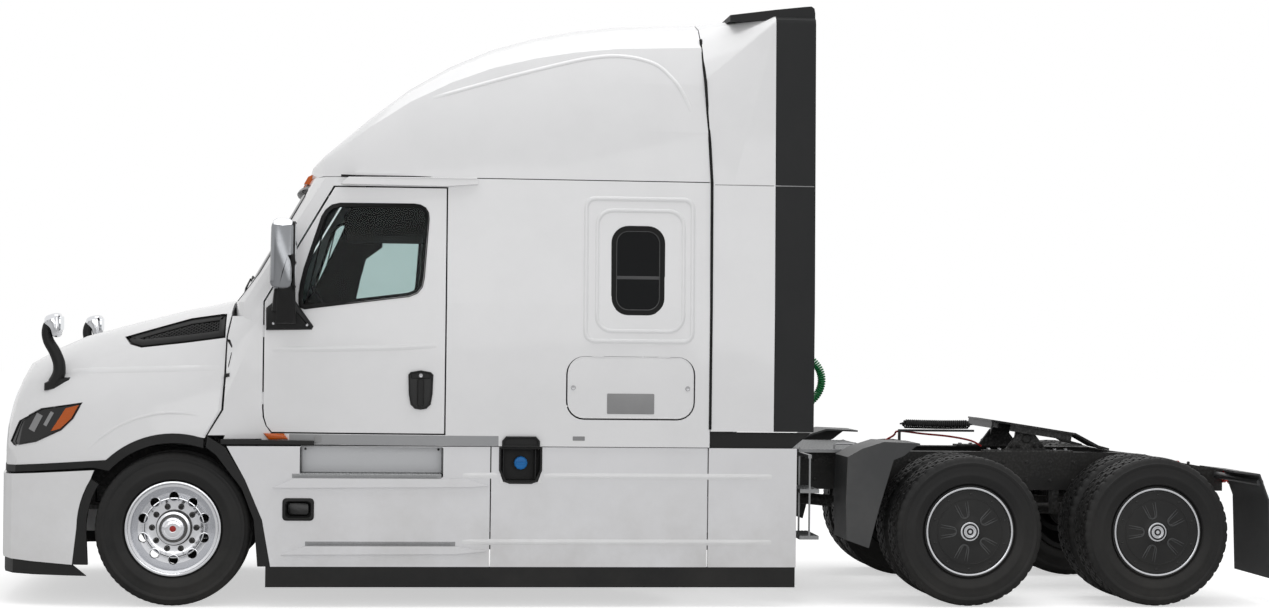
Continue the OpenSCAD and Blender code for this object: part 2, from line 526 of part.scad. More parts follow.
// ---- side fairings ----
fairing_seams = [2062, sleeper_rear - 5];
module fairing_panel(outline) slab(outline, hw - 15 - panel, hw - 15);
module side_fairings() color("white") both_sides() {
    difference() {
        fairing_panel([arch_fit([342, 1048]), arch_fit([464, 829]), arch_fit([576, 569]), [632 * arch_r / 622, fairing_low],
            [fairing_seams[0] - 4, fairing_low], [fairing_seams[0] - 4, fairing_top]]);
        slab(round_rect(815, 1750, 849, 1050, 12), hw - 100, hw);
        slab(round_rect(717, 900, 576, 701, 15), hw - 100, hw);
    }
    difference() {
        fairing_panel([[fairing_seams[0] + 4, fairing_low], [fairing_seams[0] + 4, fairing_top], [fairing_seams[1] - 4, fairing_top], [fairing_seams[1] - 4, fairing_low]]);
        slab([[2128, 824], [2128, 1100], [2389, 1100], [2389, 824]], hw - 100, hw);
    }
    fairing_panel([[fairing_seams[1] + 4, fairing_low], [fairing_seams[1] + 4, fairing_top], [fairing_end, fairing_top], [fairing_end, fairing_low]]);
    // ledges along the steps
    slab([[640, 780], [780, 842], [1900, 842], [2050, 800], [1900, 790], [760, 780]], hw - 20, hw + 4);
    slab([[700, 345], [860, 400], [1840, 400], [2040, 370], [1840, 350]], hw - 20, hw + 6);
}

// ---- chassis ----
tail_d = wheelbase + rear_overhang - 36;
module chassis_frame() color([0.12, 0.12, 0.13]) {
    w = frame_w / 2;
    both_sides() {
        slab([[-980, rail_low], [-980, rail_top], [tail_d - 720, rail_top], [tail_d, rail_top - 120], [tail_d, rail_low]], w - rail_t, w);
        block(-980, tail_d - 720, w - rail_flange, w, rail_top - rail_t, rail_top);
        slab([[tail_d - 721, rail_top - rail_t], [tail_d - 721, rail_top], [tail_d, rail_top - 120], [tail_d, rail_top - 120 - rail_t]], w - rail_flange, w);
        block(-980, tail_d, w - rail_flange, w, rail_low, rail_low + rail_t);
        // bumper brackets
        block(-1165.8, -960, w - 90, w, rail_low - 8, rail_low + 110);
        // arms and pins of the hood's hinge, in notches of the strip
        slab([[-1150, rail_low + 70], [-1150, hood_hinge[1] + 14], [hood_hinge[0] - 6, hood_hinge[1] + 14], [hood_hinge[0] - 6, hood_hinge[1] - 12],
            [-1165.8, rail_low + 112], [-1165.8, rail_low + 70]], hinge_y, hinge_y + 14);
        rod_y(hood_hinge[0], hood_hinge[1], hood_pin_r, hinge_y - 14, hinge_y + 1);
        // fairing brackets
        for (d = [1960, sleeper_rear - 40, fairing_end - 60]) block(d, d + 40, w - 2, hw - 15 - panel, rail_top - 60, rail_top - 20);
        block(700, 740, w - 2, hw - 15 - panel, rail_top - 60, rail_top - 20);
    }
    for (d = [-978, 1560, 2600, 3700, 4560, 5020, wheelbase - 35, tail_d - 80]) {
        top = d > tail_d - 720 ? rail_top - 130 : rail_top - rail_t;
        block(d, d + 12, -w + 5, w - 5, rail_low + 90, top);
        block(d, d + 70, -w + 5, w - 5, rail_low + 90, rail_low + 100);
        block(d, d + 70, -w + 5, w - 5, top - 10, top);
    }
    // bearing that carries the middle of the propeller shaft
    block(3692, 3728, -60, 60, rail_low - 90, rail_low + 92);
    // cab and body mounts
    both_sides() for (d = [480, sleeper_rear - 160]) block(d, d + 120, w - rail_flange, w, rail_top, floor_low);
    // hose bar ahead of the fifth wheel
    block(5020, 5034, 285, 315, rail_top - 15, rail_top + 150);
    block(5020, hose_end, 285, 315, rail_top + 135, rail_top + 150);
}

// ---- axles and drive line ----
diff_r = 205;
module axles() color([0.15, 0.15, 0.16]) {
    // front axle beam with kingpins
    difference() {
        union() {
            across(mirrored_y([for (p = [[0, 330], [300, 330], [420, 380], [560, 440], [kingpin_y - 60, 466], [kingpin_y + 5, 466],
                [kingpin_y + 5, 551], [kingpin_y - 60, 551], [540, 530], [400, 460], [280, 420], [0, 420]]) [p[0], p[1] + axle_lift]]), -50, 50);
            both_sides() {
                post(0, kingpin_y, tyre_r - 75, tyre_r + 75, 44);
                // spring seat
                block(-60, 60, frame_w / 2 - 95, frame_w / 2 - 15, 430 + axle_lift, 530.8 + axle_lift);
            }
        }
        both_sides() post(0, kingpin_y, tyre_r - 80, tyre_r + 80, pin_r + 0.05);
    }
    for (d = drive_d) {
        rod_y(d, tyre_r, 70, -twin_mid + 205, twin_mid - 205);
        rod_y(d, tyre_r, 45, -twin_in_y - 60, twin_in_y + 60);
        both_sides() rod_y(d, tyre_r, drum_r - 0.05, twin_mid - 206, twin_mid - 186);
        rod_x(d - 170, d + 130, 0, tyre_r, diff_r);
        rod_x(d - 250, d - 160, 0, tyre_r + 60, 70);
    }
}
shaft_r = 42;
shaft_fall = atan2(rail_low - 30 - tyre_r - 62, drive_d[0] - 250 - 3728);
module prop_shafts() color([0.2, 0.2, 0.21]) {
    shaft([1500.6, rail_low - 15], [3691.4, rail_low - 30], shaft_r);
    shaft([3728.4 + shaft_r * sin(shaft_fall), rail_low - 30], [drive_d[0] - 250.3 - shaft_r * sin(shaft_fall), tyre_r + 62], shaft_r);
    rod_x(drive_d[0] + 130.3, drive_d[1] - 250.3, 0, tyre_r + 60, 40);
}
module shaft(a, b, r) let (l = norm([b[0] - a[0], b[1] - a[1]]))
    translate([sx(a[0]), 0, a[1]]) rotate([0, -90 - atan2(b[1] - a[1], b[0] - a[0]) * -1, 0]) cylinder(r = r, h = l);

module suspension() color([0.13, 0.13, 0.14]) {
    w = frame_w / 2;
    both_sides() {
        // front leaf spring and its hangers
        slab([for (p = [[-620, 620], [-300, 590], [0, 566], [300, 590], [620, 620], [620, 598], [300, 560], [0, 531], [-300, 560], [-620, 598]])
            [p[0], p[1] + axle_lift]], w - 95, w - 15);
        block(-640, -600, w - 95, w - 15, 600 + axle_lift, rail_low);
        block(600, 640, w - 95, w - 15, 600 + axle_lift, rail_low);
    }
    for (d = drive_d) both_sides() {
        // trailing arm, air spring and shock absorber
        slab([for (p = [[-460, 560], [-460, 640], [-60, 610], [60, 610], [400, 620], [400, 590], [60, 576.2], [-60, 576.2]])
            [d + p[0], p[1] + axle_lift]], w - 80, w - 10);
        block(d - 480, d - 430, w - 80, w - 5, 560 + axle_lift, rail_low);
        post(d + 300, w - 45, 621 + axle_lift, rail_low, 38);
    }
}
module engine() color([0.35, 0.35, 0.36]) {
    block(-760, 340, -320, 320, 560, cab_z + 260);
    block(330, 760, -320, 320, 560, floor_low - 20);
    block(750, 1500, -210, 210, 560, floor_low - 100);
    for (d = [-420, 420]) block(d, d + 100, -frame_w / 2 + rail_t, frame_w / 2 - rail_t, rail_low + 30, rail_low + 130);
    // radiator and fan
    block(-880, -800, -332, 332, rail_low - 90, cab_z + 260);
    block(-810, -750, -60, 60, 900, 1100);
    both_sides() block(-880, -840, 325, frame_w / 2 - rail_t, rail_low + 30, rail_low + 130);
}
module fuel_tanks() color("silver") both_sides() {
    rod_x(door_rear + 398, sleeper_rear - 72, 800, 640, 305);
    for (d = [door_rear + 548, sleeper_rear - 312]) {
        block(d, d + 70, frame_w / 2, 520, 640, rail_top - 60);
        block(d, d + 70, frame_w / 2, 800, 322, 342);
        block(d, d + 70, frame_w / 2, frame_w / 2 + 20, 322, 760);
    }
}

// ---- steps and deck ----
module steps_and_deck() color("silver") {
    both_sides() {
        // box under the door with two treads
        block(780, 1900, 560, 1080, 320, 842);
        block(780, 1900, frame_w / 2, 565, rail_low + 20, 842);
        block(766, 1740, 1040, hw - 15 - panel, 842, 870);
        block(815, 1750, 1060, 1072, 870, 1050);
        block(856, 1834, 1095, hw - 15 - panel, 402, 430);
        // ladder behind the fairing
        for (z = [430, 745]) block(4168, 4300, 640, 1010, z, z + 26);
        for (y = [640, 1000]) block(4228, 4240, y, y + 10, 430, rail_top);
    }
    block(4230, 4840, -650, 650, rail_top, rail_top + 22);
    both_sides() block(4222, 4246, 600, 1010, rail_top - 20, rail_top + 4);
}
guard_d = drive_d[0] - axle_lift;         // the guards keep their distance from the tyres
function guard_at(pts) = [for (p = pts) [guard_d + p[0], p[1] + 2 * axle_lift]];
module rear_mudguards() color([0.13, 0.13, 0.14]) both_sides() {
    // guard ahead of the first drive wheel
    slab(guard_at([[-822, 438], [-830, 700], [-821, 997], [-723, 1053], [-572, 1101], [-326, 1092], [-326, 1080], [-568, 1088],
        [-715, 1041], [-808, 990], [-817, 700], [-809, 438]]), twin_in_y, hw - 100);
    slab(guard_at([[-822, 438], [-830, 700], [-821, 997], [-723, 1053], [-572, 1101], [-326, 1092], [-437, 1006], [-505, 979],
        [-605, 641], [-670, 384]]), hw - 112, hw - 100);
    rod_y(guard_d - 690, 900 + axle_lift, 22, frame_w / 2, hw - 105);
    rod_y(guard_d - 805, 640 + axle_lift, 16, frame_w / 2 + 200, hw - 105);
    // flap behind the last one
    slab([for (p = [[-238, 912], [-238, 924], [-52, 904], [18, 719], [36, 191], [24, 191], [6, 719], [-60, 892]]) [tail_d + p[0], p[1] + axle_lift]], 600, hw - 20);
    rod_y(tail_d - 44, 845 + axle_lift, 24, frame_w / 2, hw - 40);
}

// ---- fifth wheel ----
module at_plate() translate([sx(plate_pivot[0]), 0, plate_pivot[1]]) rotate([0, -plate_rest_tilt, 0]) children();
plate_top = 95;
module fifth_wheel_plate() color([0.2, 0.2, 0.21]) at_plate() {
    difference() {
        union() {
            translate([0, 0, plate_top - 14]) linear_extrude(14)
                polygon(mirrored([[262, 0], [256, plate_w / 2 - 157], [165, plate_w / 2], [-300, plate_w / 2], [-340, plate_w / 2 - 57]]));
            translate([-150, -130, plate_top - lock_h]) cube([300, 260, lock_h - 10]);
            for (s = [-1, 1]) {
                translate([-300, s * (plate_w / 2 - 27) - 7, plate_top - 60]) cube([450, 14, 50]);
                translate([-70, s * 300 - 12, -34]) cube([140, 24, plate_top + 30]);
            }
            translate([236, -300, plate_top - 60]) cube([14, 600, 50]);
        }
        translate([0, 0, 0]) cylinder(r = kingpin_r, h = 200);
        linear_extrude(200) polygon([[5, kingpin_r - 0.6], [-10, kingpin_r - 0.6], [-120, 60], [-345, 175], [-345, -175], [-120, -60], [-10, -kingpin_r + 0.6], [5, -kingpin_r + 0.6]]);
    }
    // ramps
    for (s = [-1, 1]) mirror([0, s < 0 ? 1 : 0, 0]) translate([0, plate_w / 2 - 57, 0]) rotate([90, 0, 0]) linear_extrude(plate_w / 2 - 242)
        polygon([[-339, plate_top], [-520, plate_top - 62], [-600, plate_top - 70], [-600, plate_top - 84], [-510, plate_top - 78], [-339, plate_top - 14]]);
    for (s = [-1, 1]) translate([0, s * 325, 0]) rotate([90, 0, 0]) translate([0, 0, -25]) cylinder(r = 20, h = 50);
}
module fifth_wheel_base() color([0.17, 0.17, 0.18]) both_sides() {
    // bracket with the pivot bore, on the rail
    difference() {
        slab([[wheelbase - 160, rail_top], [wheelbase - 60, rail_top + 130], [wheelbase + 60, rail_top + 130], [wheelbase + 160, rail_top]], 322, 352);
        rod_y(plate_pivot[0], plate_pivot[1], 20.05, 300, 400);
    }
    block(wheelbase - 320, wheelbase + 320, 322, frame_w / 2, rail_top, rail_top + 12);
}

// ---- trailer supply ----
module trailer_sockets() color([0.2, 0.2, 0.2]) {
    for (z = [cowl_z - 290, cowl_z - 610]) rod_x(sleeper_rear, sleeper_rear + 60, 600, z, 48);
    block(sleeper_rear, sleeper_rear + 40, 250, 450, cowl_z - 420, cowl_z - 260);
    // arm that the trailer cable hangs over
    rod_x(sleeper_rear, sleeper_rear + 515, 600, cowl_z - 333.3, 13);
}
cable_path = [[0, 600, 1700], [80, 600, 1700], [200, 600, 1700], [330, 600, 1700], [460, 600, 1700], [560, 600, 1699], [650, 600, 1689], [730, 600, 1655],
    [790, 600, 1600], [820, 600, 1530], [815, 600, 1450], [772, 600, 1377], [690, 600, 1317], [580, 600, 1279], [450, 600, 1263], [320, 600, 1273],
    [210, 600, 1311], [130, 600, 1352], [70, 600, 1378], [30, 600, 1380], [0, 600, 1380]];
hose_path = [[5030, 300, 1190], [5120, 300, 1188], [5240, 300, 1186], [5360, 300, 1185], [5460, 300, 1186], [5560, 300, 1188]];
// One tube swept along chosen points
function unit(v) = v / norm(v);
function along(p, i) = unit(p[min(i + 1, len(p) - 1)] - p[max(i - 1, 0)]);
module tube(path, r, side, n = 10) {
    pts = [for (i = [0:len(path) - 1]) let (t = along(path, i), u = unit(cross(side, t)), v = cross(t, u))
        for (k = [0:n - 1]) path[i] + r * (cos(360 * k / n) * u + sin(360 * k / n) * v)];
    m = len(path);
    polyhedron(pts, concat([[for (k = [0:n - 1]) k]],
        [for (i = [0:m - 2]) for (k = [0:n - 1]) [i * n + k, (i + 1) * n + k, (i + 1) * n + (k + 1) % n, i * n + (k + 1) % n]],
        [[for (k = [n - 1:-1:0]) (m - 1) * n + k]]));
}
module trailer_cable() color("green")
    tube([for (p = cable_path) [sx(sleeper_rear + 60.3 + p[0]), p[1], p[2] + cowl_z - 1990]], 30, [0, 1, 0]);
module air_hoses() color("black")
    tube([for (p = hose_path) [sx(p[0]), p[1], p[2] + rail_top - 1000]], 34.5, [0, 1, 0]);

// ---- inside the cab ----
module dashboard() color([0.2, 0.2, 0.22]) {
    intersection() {
        cab_block(wall + 0.5);
        slab([[300, floor_low + 300], [300, cowl_z - 30], [700, cowl_z - 45], [800, cowl_z - 120], [780, cowl_z - 400], [620, floor_low + 300]], -1010, 1010);
    }
    translate([sx(790), 520, cowl_z - 190]) rotate([0, -60, 0]) cylinder(r = 32, h = 200);
}
module steering_wheel() color([0.1, 0.1, 0.1]) translate([sx(790), 520, cowl_z - 190]) rotate([0, -60, 0]) translate([0, 0, 200]) {
    rotate_extrude() translate([225, 13]) circle(r = 14, $fn = 16);
    cylinder(r = 70, h = 26);
    for (a = [90, 210, 330]) rotate([0, 0, a]) translate([60, -16, 4]) cube([155, 32, 16]);
}
floor_top = floor_low + wall + 40;
module seats() color([0.25, 0.25, 0.27]) for (y = [520, -520]) {
    block(1250, 1560, y - 170, y + 170, floor_top, floor_top + 330);
    slab(round_rect(1130, 1680, floor_top + 330, floor_top + 480, 50), y - 250, y + 250);
    slab([[1600, floor_top + 480.3], [1560, floor_top + 560], [1680, floor_top + 1150], [1730, floor_top + 1190], [1790, floor_top + 1180], [1820, floor_top + 1120], [1720, floor_top + 480.3]], y - 240, y + 240);
}
bunk_z = cab_z + 620;
module bunk() color([0.5, 0.5, 0.5]) intersection() {
    cab_block(wall + 0.5);
    union() {
        block(sleeper_rear - 1000, sleeper_rear, -hw, hw, bunk_z, bunk_z + 30);
        slab(round_rect(sleeper_rear - 990, sleeper_rear - 70, bunk_z + 30, bunk_z + 190, 40), -hw + 90, hw - 90);
    }
}

// ---- steered wheels ----
module knuckle_half(ball_r) {
    // yoke round the axle's eye, kingpin, stub axle and steering arm
    for (z = [tyre_r - 125, tyre_r + 85]) translate([sx(0) - 55, kingpin_y - 50, z]) cube([110, 120, 40]);
    post(0, kingpin_y, tyre_r - 100, tyre_r + 100, pin_r);
    translate([sx(0) - 55, kingpin_y + 52, tyre_r - 125]) cube([110, 18, 250]);
    rod_y(0, tyre_r, 60, kingpin_y + 60, kingpin_y + 74);
    rod_y(0, tyre_r, hub_bore - 0.05, kingpin_y + 70, kingpin_y + 92);
    rod_y(0, tyre_r, 38, kingpin_y + 70, kingpin_y + 215);
    translate([sx(arm_back) - 25, kingpin_y - 25, tyre_r - 125]) cube([arm_back - 20, 50, 30]);
    post(arm_back, kingpin_y, tyre_r - 165, tyre_r - 96, ball_r);
}
module knuckle_left() color([0.25, 0.25, 0.26]) knuckle_half(16);
module knuckle_right() color([0.25, 0.25, 0.26]) mirror([0, 1, 0]) knuckle_half(14);
module tie_rod() color([0.25, 0.25, 0.26]) difference() {
    union() {
        for (s = [-1, 1]) post(arm_back, s * kingpin_y, tyre_r - 160, tyre_r - 131, 34);
        rod_y(arm_back, tyre_r - 145, 17, -kingpin_y + 20, kingpin_y - 20);
    }
    post(arm_back, kingpin_y, tyre_r - 200, tyre_r, 16.05);
    post(arm_back, -kingpin_y, tyre_r - 200, tyre_r, 22);
}

// ---- wheels and tyres: profiles of [radius, distance outboard of the tyre's middle] ----
module spin(d, y, s) translate([sx(d), s * y, tyre_r]) rotate([-90 * s, 0, 0]) rotate_extrude($fn = 96) children();
tyre_profile = let (w = tyre_w / 2, b = rim_r + 0.3) [[b, -w + 32], [b + 24, -w + 32], [b + 40, -w + 8], [b + 110, -w], [tyre_r - 60, -w + 4], [tyre_r - 22, -w + 14], [tyre_r - 3, -w + 32], [tyre_r, 0],
    [tyre_r - 3, w - 32], [tyre_r - 22, w - 14], [tyre_r - 60, w - 4], [b + 110, w], [b + 40, w - 8], [b + 24, w - 32], [b, w - 32]];
module tyre_at(d, y, s) spin(d, y, s) difference() { polygon(tyre_profile); translate([rim_r - 1, 45 - tyre_w / 2]) square([tyre_r - 29 - rim_r, tyre_w - 90]); }
rim_band = [[rim_r + 22, -tyre_w / 2 + 18], [rim_r + 22, -tyre_w / 2 + 31.5], [rim_r, -tyre_w / 2 + 31.5], [rim_r, tyre_w / 2 - 31.5], [rim_r + 22, tyre_w / 2 - 31.5], [rim_r + 22, tyre_w / 2 - 18],
    [rim_r - 12, tyre_w / 2 - 22], [rim_r - 14, 60], [rim_r - 14, -60], [rim_r - 12, -tyre_w / 2 + 22]];
module front_wheel_half(s) difference() {
    union() {
        spin(0, front_wheel_y, s) polygon(rim_band);
        // disc and hub
        spin(0, front_wheel_y, s) polygon([[rim_r - 13, 20], [rim_r - 13, 55], [230, 78], [175, 40], [150, 36], [110, 36], [108, 90], [70, 100], [68, 128], [0, 130],
            [0, 88], [60, 78], [60, -66], [hub_bore, -70], [hub_bore, -86], [130, -82], [135, 0], [150, 14], [175, 16], [225, 54]]);
    }
    for (i = [0:9]) translate([sx(0), 0, tyre_r]) rotate([0, 36 * i + 18, 0]) translate([208, s * front_wheel_y, 0]) rotate([90, 0, 0]) translate([0, 0, -120]) cylinder(r = 30, h = 240, $fn = 32);
}
module front_tyre_left() color([0.12, 0.12, 0.12]) tyre_at(0, front_wheel_y, 1);
module front_tyre_right() color([0.12, 0.12, 0.12]) tyre_at(0, front_wheel_y, -1);
module front_wheel_left() color("silver") front_wheel_half(1);
module front_wheel_right() color("silver") front_wheel_half(-1);

module twin_tyres(d, s) { tyre_at(d, twin_out_y, s); tyre_at(d, twin_in_y, s); }
module twin_wheel(d, s) {
    for (y = [twin_out_y, twin_in_y]) spin(d, y, s) polygon(rim_band);
    // hub between the rims, with the aero cover outside
    spin(d, twin_mid, s) polygon([[rim_r - 13, -110], [rim_r - 13, -85], [200, -12], [200, 12], [rim_r - 13, 85], [rim_r - 13, 110], [190, 40], [190, 40],
        [150, 60], [148, 200], [95, 215], [0, 215], [0, 190], [drum_r - 20, 190], [drum_r - 20, -180], [drum_r, -185], [drum_r, -200], [135, -200], [150, -40], [190, -40]]);
    spin(d, twin_out_y, s) polygon([[rim_r - 13, 98], [rim_r - 13, 108], [230, 116], [120, 118], [70, 130], [0, 132], [0, 122], [66, 120], [118, 108], [228, 106]]);
}
module drive_tyres_front_left() color([0.12, 0.12, 0.12]) twin_tyres(drive_d[0], 1);
module drive_tyres_front_right() color([0.12, 0.12, 0.12]) twin_tyres(drive_d[0], -1);
module drive_tyres_rear_left() color([0.12, 0.12, 0.12]) twin_tyres(drive_d[1], 1);
module drive_tyres_rear_right() color([0.12, 0.12, 0.12]) twin_tyres(drive_d[1], -1);
module drive_wheels_front_left() color([0.2, 0.2, 0.2]) twin_wheel(drive_d[0], 1);
module drive_wheels_front_right() color([0.2, 0.2, 0.2]) twin_wheel(drive_d[0], -1);
module drive_wheels_rear_left() color([0.2, 0.2, 0.2]) twin_wheel(drive_d[1], 1);
module drive_wheels_rear_right() color([0.2, 0.2, 0.2]) twin_wheel(drive_d[1], -1);

chassis_frame();
axles();
suspension();
engine();
fuel_tanks();
prop_shafts();
front_bumper();
lower_trim();
cab_floor();
cab_side_walls();
cab_back_wall();
cab_front();
roof_fairing();
side_extenders();
extender_flaps();
cab_glass();
dashboard();
steering_wheel();
seats();
bunk();
side_fairings();
steps_and_deck();
fifth_wheel_base();
rear_mudguards();
trailer_sockets();
trailer_cable();
air_hoses();
hood_shell();
grille();
headlights();
hood_mirrors();
hood_trim();
door_left();
door_right();
door_glass_left();
door_glass_right();
side_mirror_left();
side_mirror_right();
luggage_door_left();
luggage_door_right();
fifth_wheel_plate();
knuckle_left();
knuckle_right();
tie_rod();
front_tyre_left();
front_tyre_right();
front_wheel_left();
front_wheel_right();
drive_tyres_front_left();
drive_tyres_front_right();
drive_tyres_rear_left();
drive_tyres_rear_right();
drive_wheels_front_left();
drive_wheels_front_right();
drive_wheels_rear_left();
drive_wheels_rear_right();
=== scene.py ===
# %% [markdown]
# # A semi truck tractor unit, finished for rendering
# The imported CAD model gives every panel, wheel and hinge at its real size. This script adds
# what a painter and a trimmer would: finishes, tyre tread, lamps, mirrors, wheel covers,
# cushions and small trim. Meshes are worked out in millimetres on the drawing's stations and
# turned into metres as they are made: +X points to the nose, +Y to the driver's left and +Z up.

# %% Load the fixed frame
import bpy, bmesh, json
from math import ceil, copysign, cos, dist, pi, radians, sin, tau
import numpy as np
from mathutils import Matrix, Vector
from mathutils.bvhtree import BVHTree


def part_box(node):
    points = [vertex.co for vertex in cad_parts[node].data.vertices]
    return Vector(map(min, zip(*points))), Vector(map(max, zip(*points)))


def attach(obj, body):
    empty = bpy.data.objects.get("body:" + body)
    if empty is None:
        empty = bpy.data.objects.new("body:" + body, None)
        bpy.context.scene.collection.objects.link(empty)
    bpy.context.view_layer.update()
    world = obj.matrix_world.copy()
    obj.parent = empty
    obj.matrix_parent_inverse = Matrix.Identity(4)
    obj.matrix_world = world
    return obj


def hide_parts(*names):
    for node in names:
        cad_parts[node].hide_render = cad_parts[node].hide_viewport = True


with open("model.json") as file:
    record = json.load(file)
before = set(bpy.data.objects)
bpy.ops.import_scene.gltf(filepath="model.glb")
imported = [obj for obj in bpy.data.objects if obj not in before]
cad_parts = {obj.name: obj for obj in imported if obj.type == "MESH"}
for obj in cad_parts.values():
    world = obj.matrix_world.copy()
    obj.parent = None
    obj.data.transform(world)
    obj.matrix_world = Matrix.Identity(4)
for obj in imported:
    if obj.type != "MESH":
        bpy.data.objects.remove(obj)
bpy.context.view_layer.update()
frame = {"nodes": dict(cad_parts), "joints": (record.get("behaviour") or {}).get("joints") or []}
scene = bpy.context.scene
NODES = frame["nodes"]

# %% [markdown]
# ## Where things are
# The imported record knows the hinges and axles, so places come from its joints and from the
# boxes of the CAD nodes. A station is a distance behind the front axle, which is how truck
# builders measure a chassis; `at` turns station, side and height in millimetres into a point.

# %% Landmarks
JOINTS = {j["name"]: j for j in frame["joints"]}
FRONT_AXLE, _, HUB_Z = JOINTS["steer_left"]["pos_m"]
TYRE_R, TYRE_W, RIM_R = 506, 280, 286
HALF_W = 1220
def at(d, y, z):
    """Station behind the front axle, distance left of the middle and height, in millimetres."""
    return Vector((FRONT_AXLE - d / 1000, y / 1000, z / 1000))
DRIVE = [round((FRONT_AXLE - JOINTS[f"drive_{n}_left_roll"]["pos_m"][0]) * 1000) for n in ("front", "rear")]
print("front axle X", round(FRONT_AXLE, 3), "drive axles at stations", DRIVE)

# %% [markdown]
# ## Camera, floor and lights
# A long lens far to the truck's left keeps the side view calm, turned a little so that the nose
# is seen slightly from behind. The shift slides the frame without tilting the verticals.

# %% Camera
def look_matrix(yaw, pitch, roll):
    """Camera axes for a view along -Y that is yawed towards -X, pitched up and rolled."""
    ahead, right, up = Vector((0, -1, 0)), Vector((-1, 0, 0)), Vector((0, 0, 1))
    a1 = ahead * cos(yaw) + right * sin(yaw)
    r1 = right * cos(yaw) - ahead * sin(yaw)
    a2 = a1 * cos(pitch) + up * sin(pitch)
    u2 = up * cos(pitch) - a1 * sin(pitch)
    r3 = r1 * cos(roll) + u2 * sin(roll)
    u3 = u2 * cos(roll) - r1 * sin(roll)
    return Matrix((r3, u3, -a2)).transposed().to_4x4()
camera = bpy.data.objects.new("camera", bpy.data.cameras.new("camera"))
scene.collection.objects.link(camera)
camera.matrix_world = Matrix.Translation((1.7375, 14.862, 1.811)) @ look_matrix(0.0937, 0.0056, 0.0117)
camera.data.lens, camera.data.sensor_width = 58.88, 36
camera.data.shift_x, camera.data.shift_y = 0.0423, 0.0133
camera.data.clip_end = 200
scene.camera = camera
print("camera", [round(v, 3) for v in camera.location])

# %% [markdown]
# A pale seamless floor and an even white sky are the plainest studio there is. The sky is the
# main light, so panels render about as they are painted; one broad lamp overhead models the
# roof and the hood, and a weaker one low on the camera's side lifts the wheels. To the camera,
# to polished metal and to glass the sky is plain white, whatever light it gives.

# %% Floor, sky and lamps
def wire(tree, a, out, b, socket):
    tree.links.new(a.outputs[out], b.inputs[socket])
floor_mesh = bpy.data.meshes.new("floor")
floor_mesh.from_pydata([(-70, -70, 0), (70, -70, 0), (70, 70, 0), (-70, 70, 0)], [], [(0, 1, 2, 3)])
floor = bpy.data.objects.new("floor", floor_mesh)
scene.collection.objects.link(floor)
floor.location.z = -0.002
floor_paint = bpy.data.materials.new("floor_paint")
floor_paint.use_nodes = True
floor_shader = floor_paint.node_tree.nodes["Principled BSDF"]
floor_shader.inputs["Base Color"].default_value = (0.8, 0.8, 0.8, 1)
floor_shader.inputs["Roughness"].default_value = 0.95
floor_shader.inputs["Specular IOR Level"].default_value = 0.0
floor_shader.inputs["Emission Color"].default_value = (1, 1, 1, 1)
floor_seen = floor_paint.node_tree.nodes.new("ShaderNodeLightPath")
floor_glow = floor_paint.node_tree.nodes.new("ShaderNodeMath")
floor_glow.operation = "MULTIPLY"
floor_glow.inputs[1].default_value = 0.56
floor_paint.node_tree.links.new(floor_seen.outputs["Is Camera Ray"], floor_glow.inputs[0])
floor_paint.node_tree.links.new(floor_glow.outputs[0], floor_shader.inputs["Emission Strength"])
floor_mesh.materials.append(floor_paint)

world = scene.world or bpy.data.worlds.new("sky")
scene.world = world
world.use_nodes = True
sky = world.node_tree
sky.nodes.clear()
SKY_LIGHT = 0.58
path, seen, level = (sky.nodes.new("ShaderNode" + kind) for kind in ("LightPath", "Math", "MapRange"))
through = sky.nodes.new("ShaderNodeMath")
seen.operation = through.operation = "MAXIMUM"
light, end = sky.nodes.new("ShaderNodeBackground"), sky.nodes.new("ShaderNodeOutputWorld")
light.inputs["Color"].default_value = (1, 1, 1, 1)
wire(sky, path, "Is Camera Ray", seen, 0)
wire(sky, path, "Is Transmission Ray", seen, 1)
wire(sky, seen, 0, through, 0)
wire(sky, path, "Is Glossy Ray", through, 1)
wire(sky, through, 0, level, "Value")
level.inputs["To Min"].default_value, level.inputs["To Max"].default_value = SKY_LIGHT, 1.0
wire(sky, level, "Result", light, "Strength")
wire(sky, light, 0, end, 0)

def lamp(name, energy, size, place, aim):
    data = bpy.data.lights.new(name, "AREA")
    data.energy, data.shape, data.size, data.size_y = energy, "RECTANGLE", size[0], size[1]
    obj = bpy.data.objects.new(name, data)
    scene.collection.objects.link(obj)
    obj.location = place
    obj.rotation_euler = (Vector(aim) - Vector(place)).to_track_quat("-Z", "Y").to_euler()
    return obj
lamp("overhead", 330, (11, 5), (0, 1.5, 9.0), (0, 0, 2))
lamp("camera_side", 128, (10, 3), (1.5, 10.5, 3.2), (0, 0, 1.5))
scene.view_settings.view_transform = "Standard"
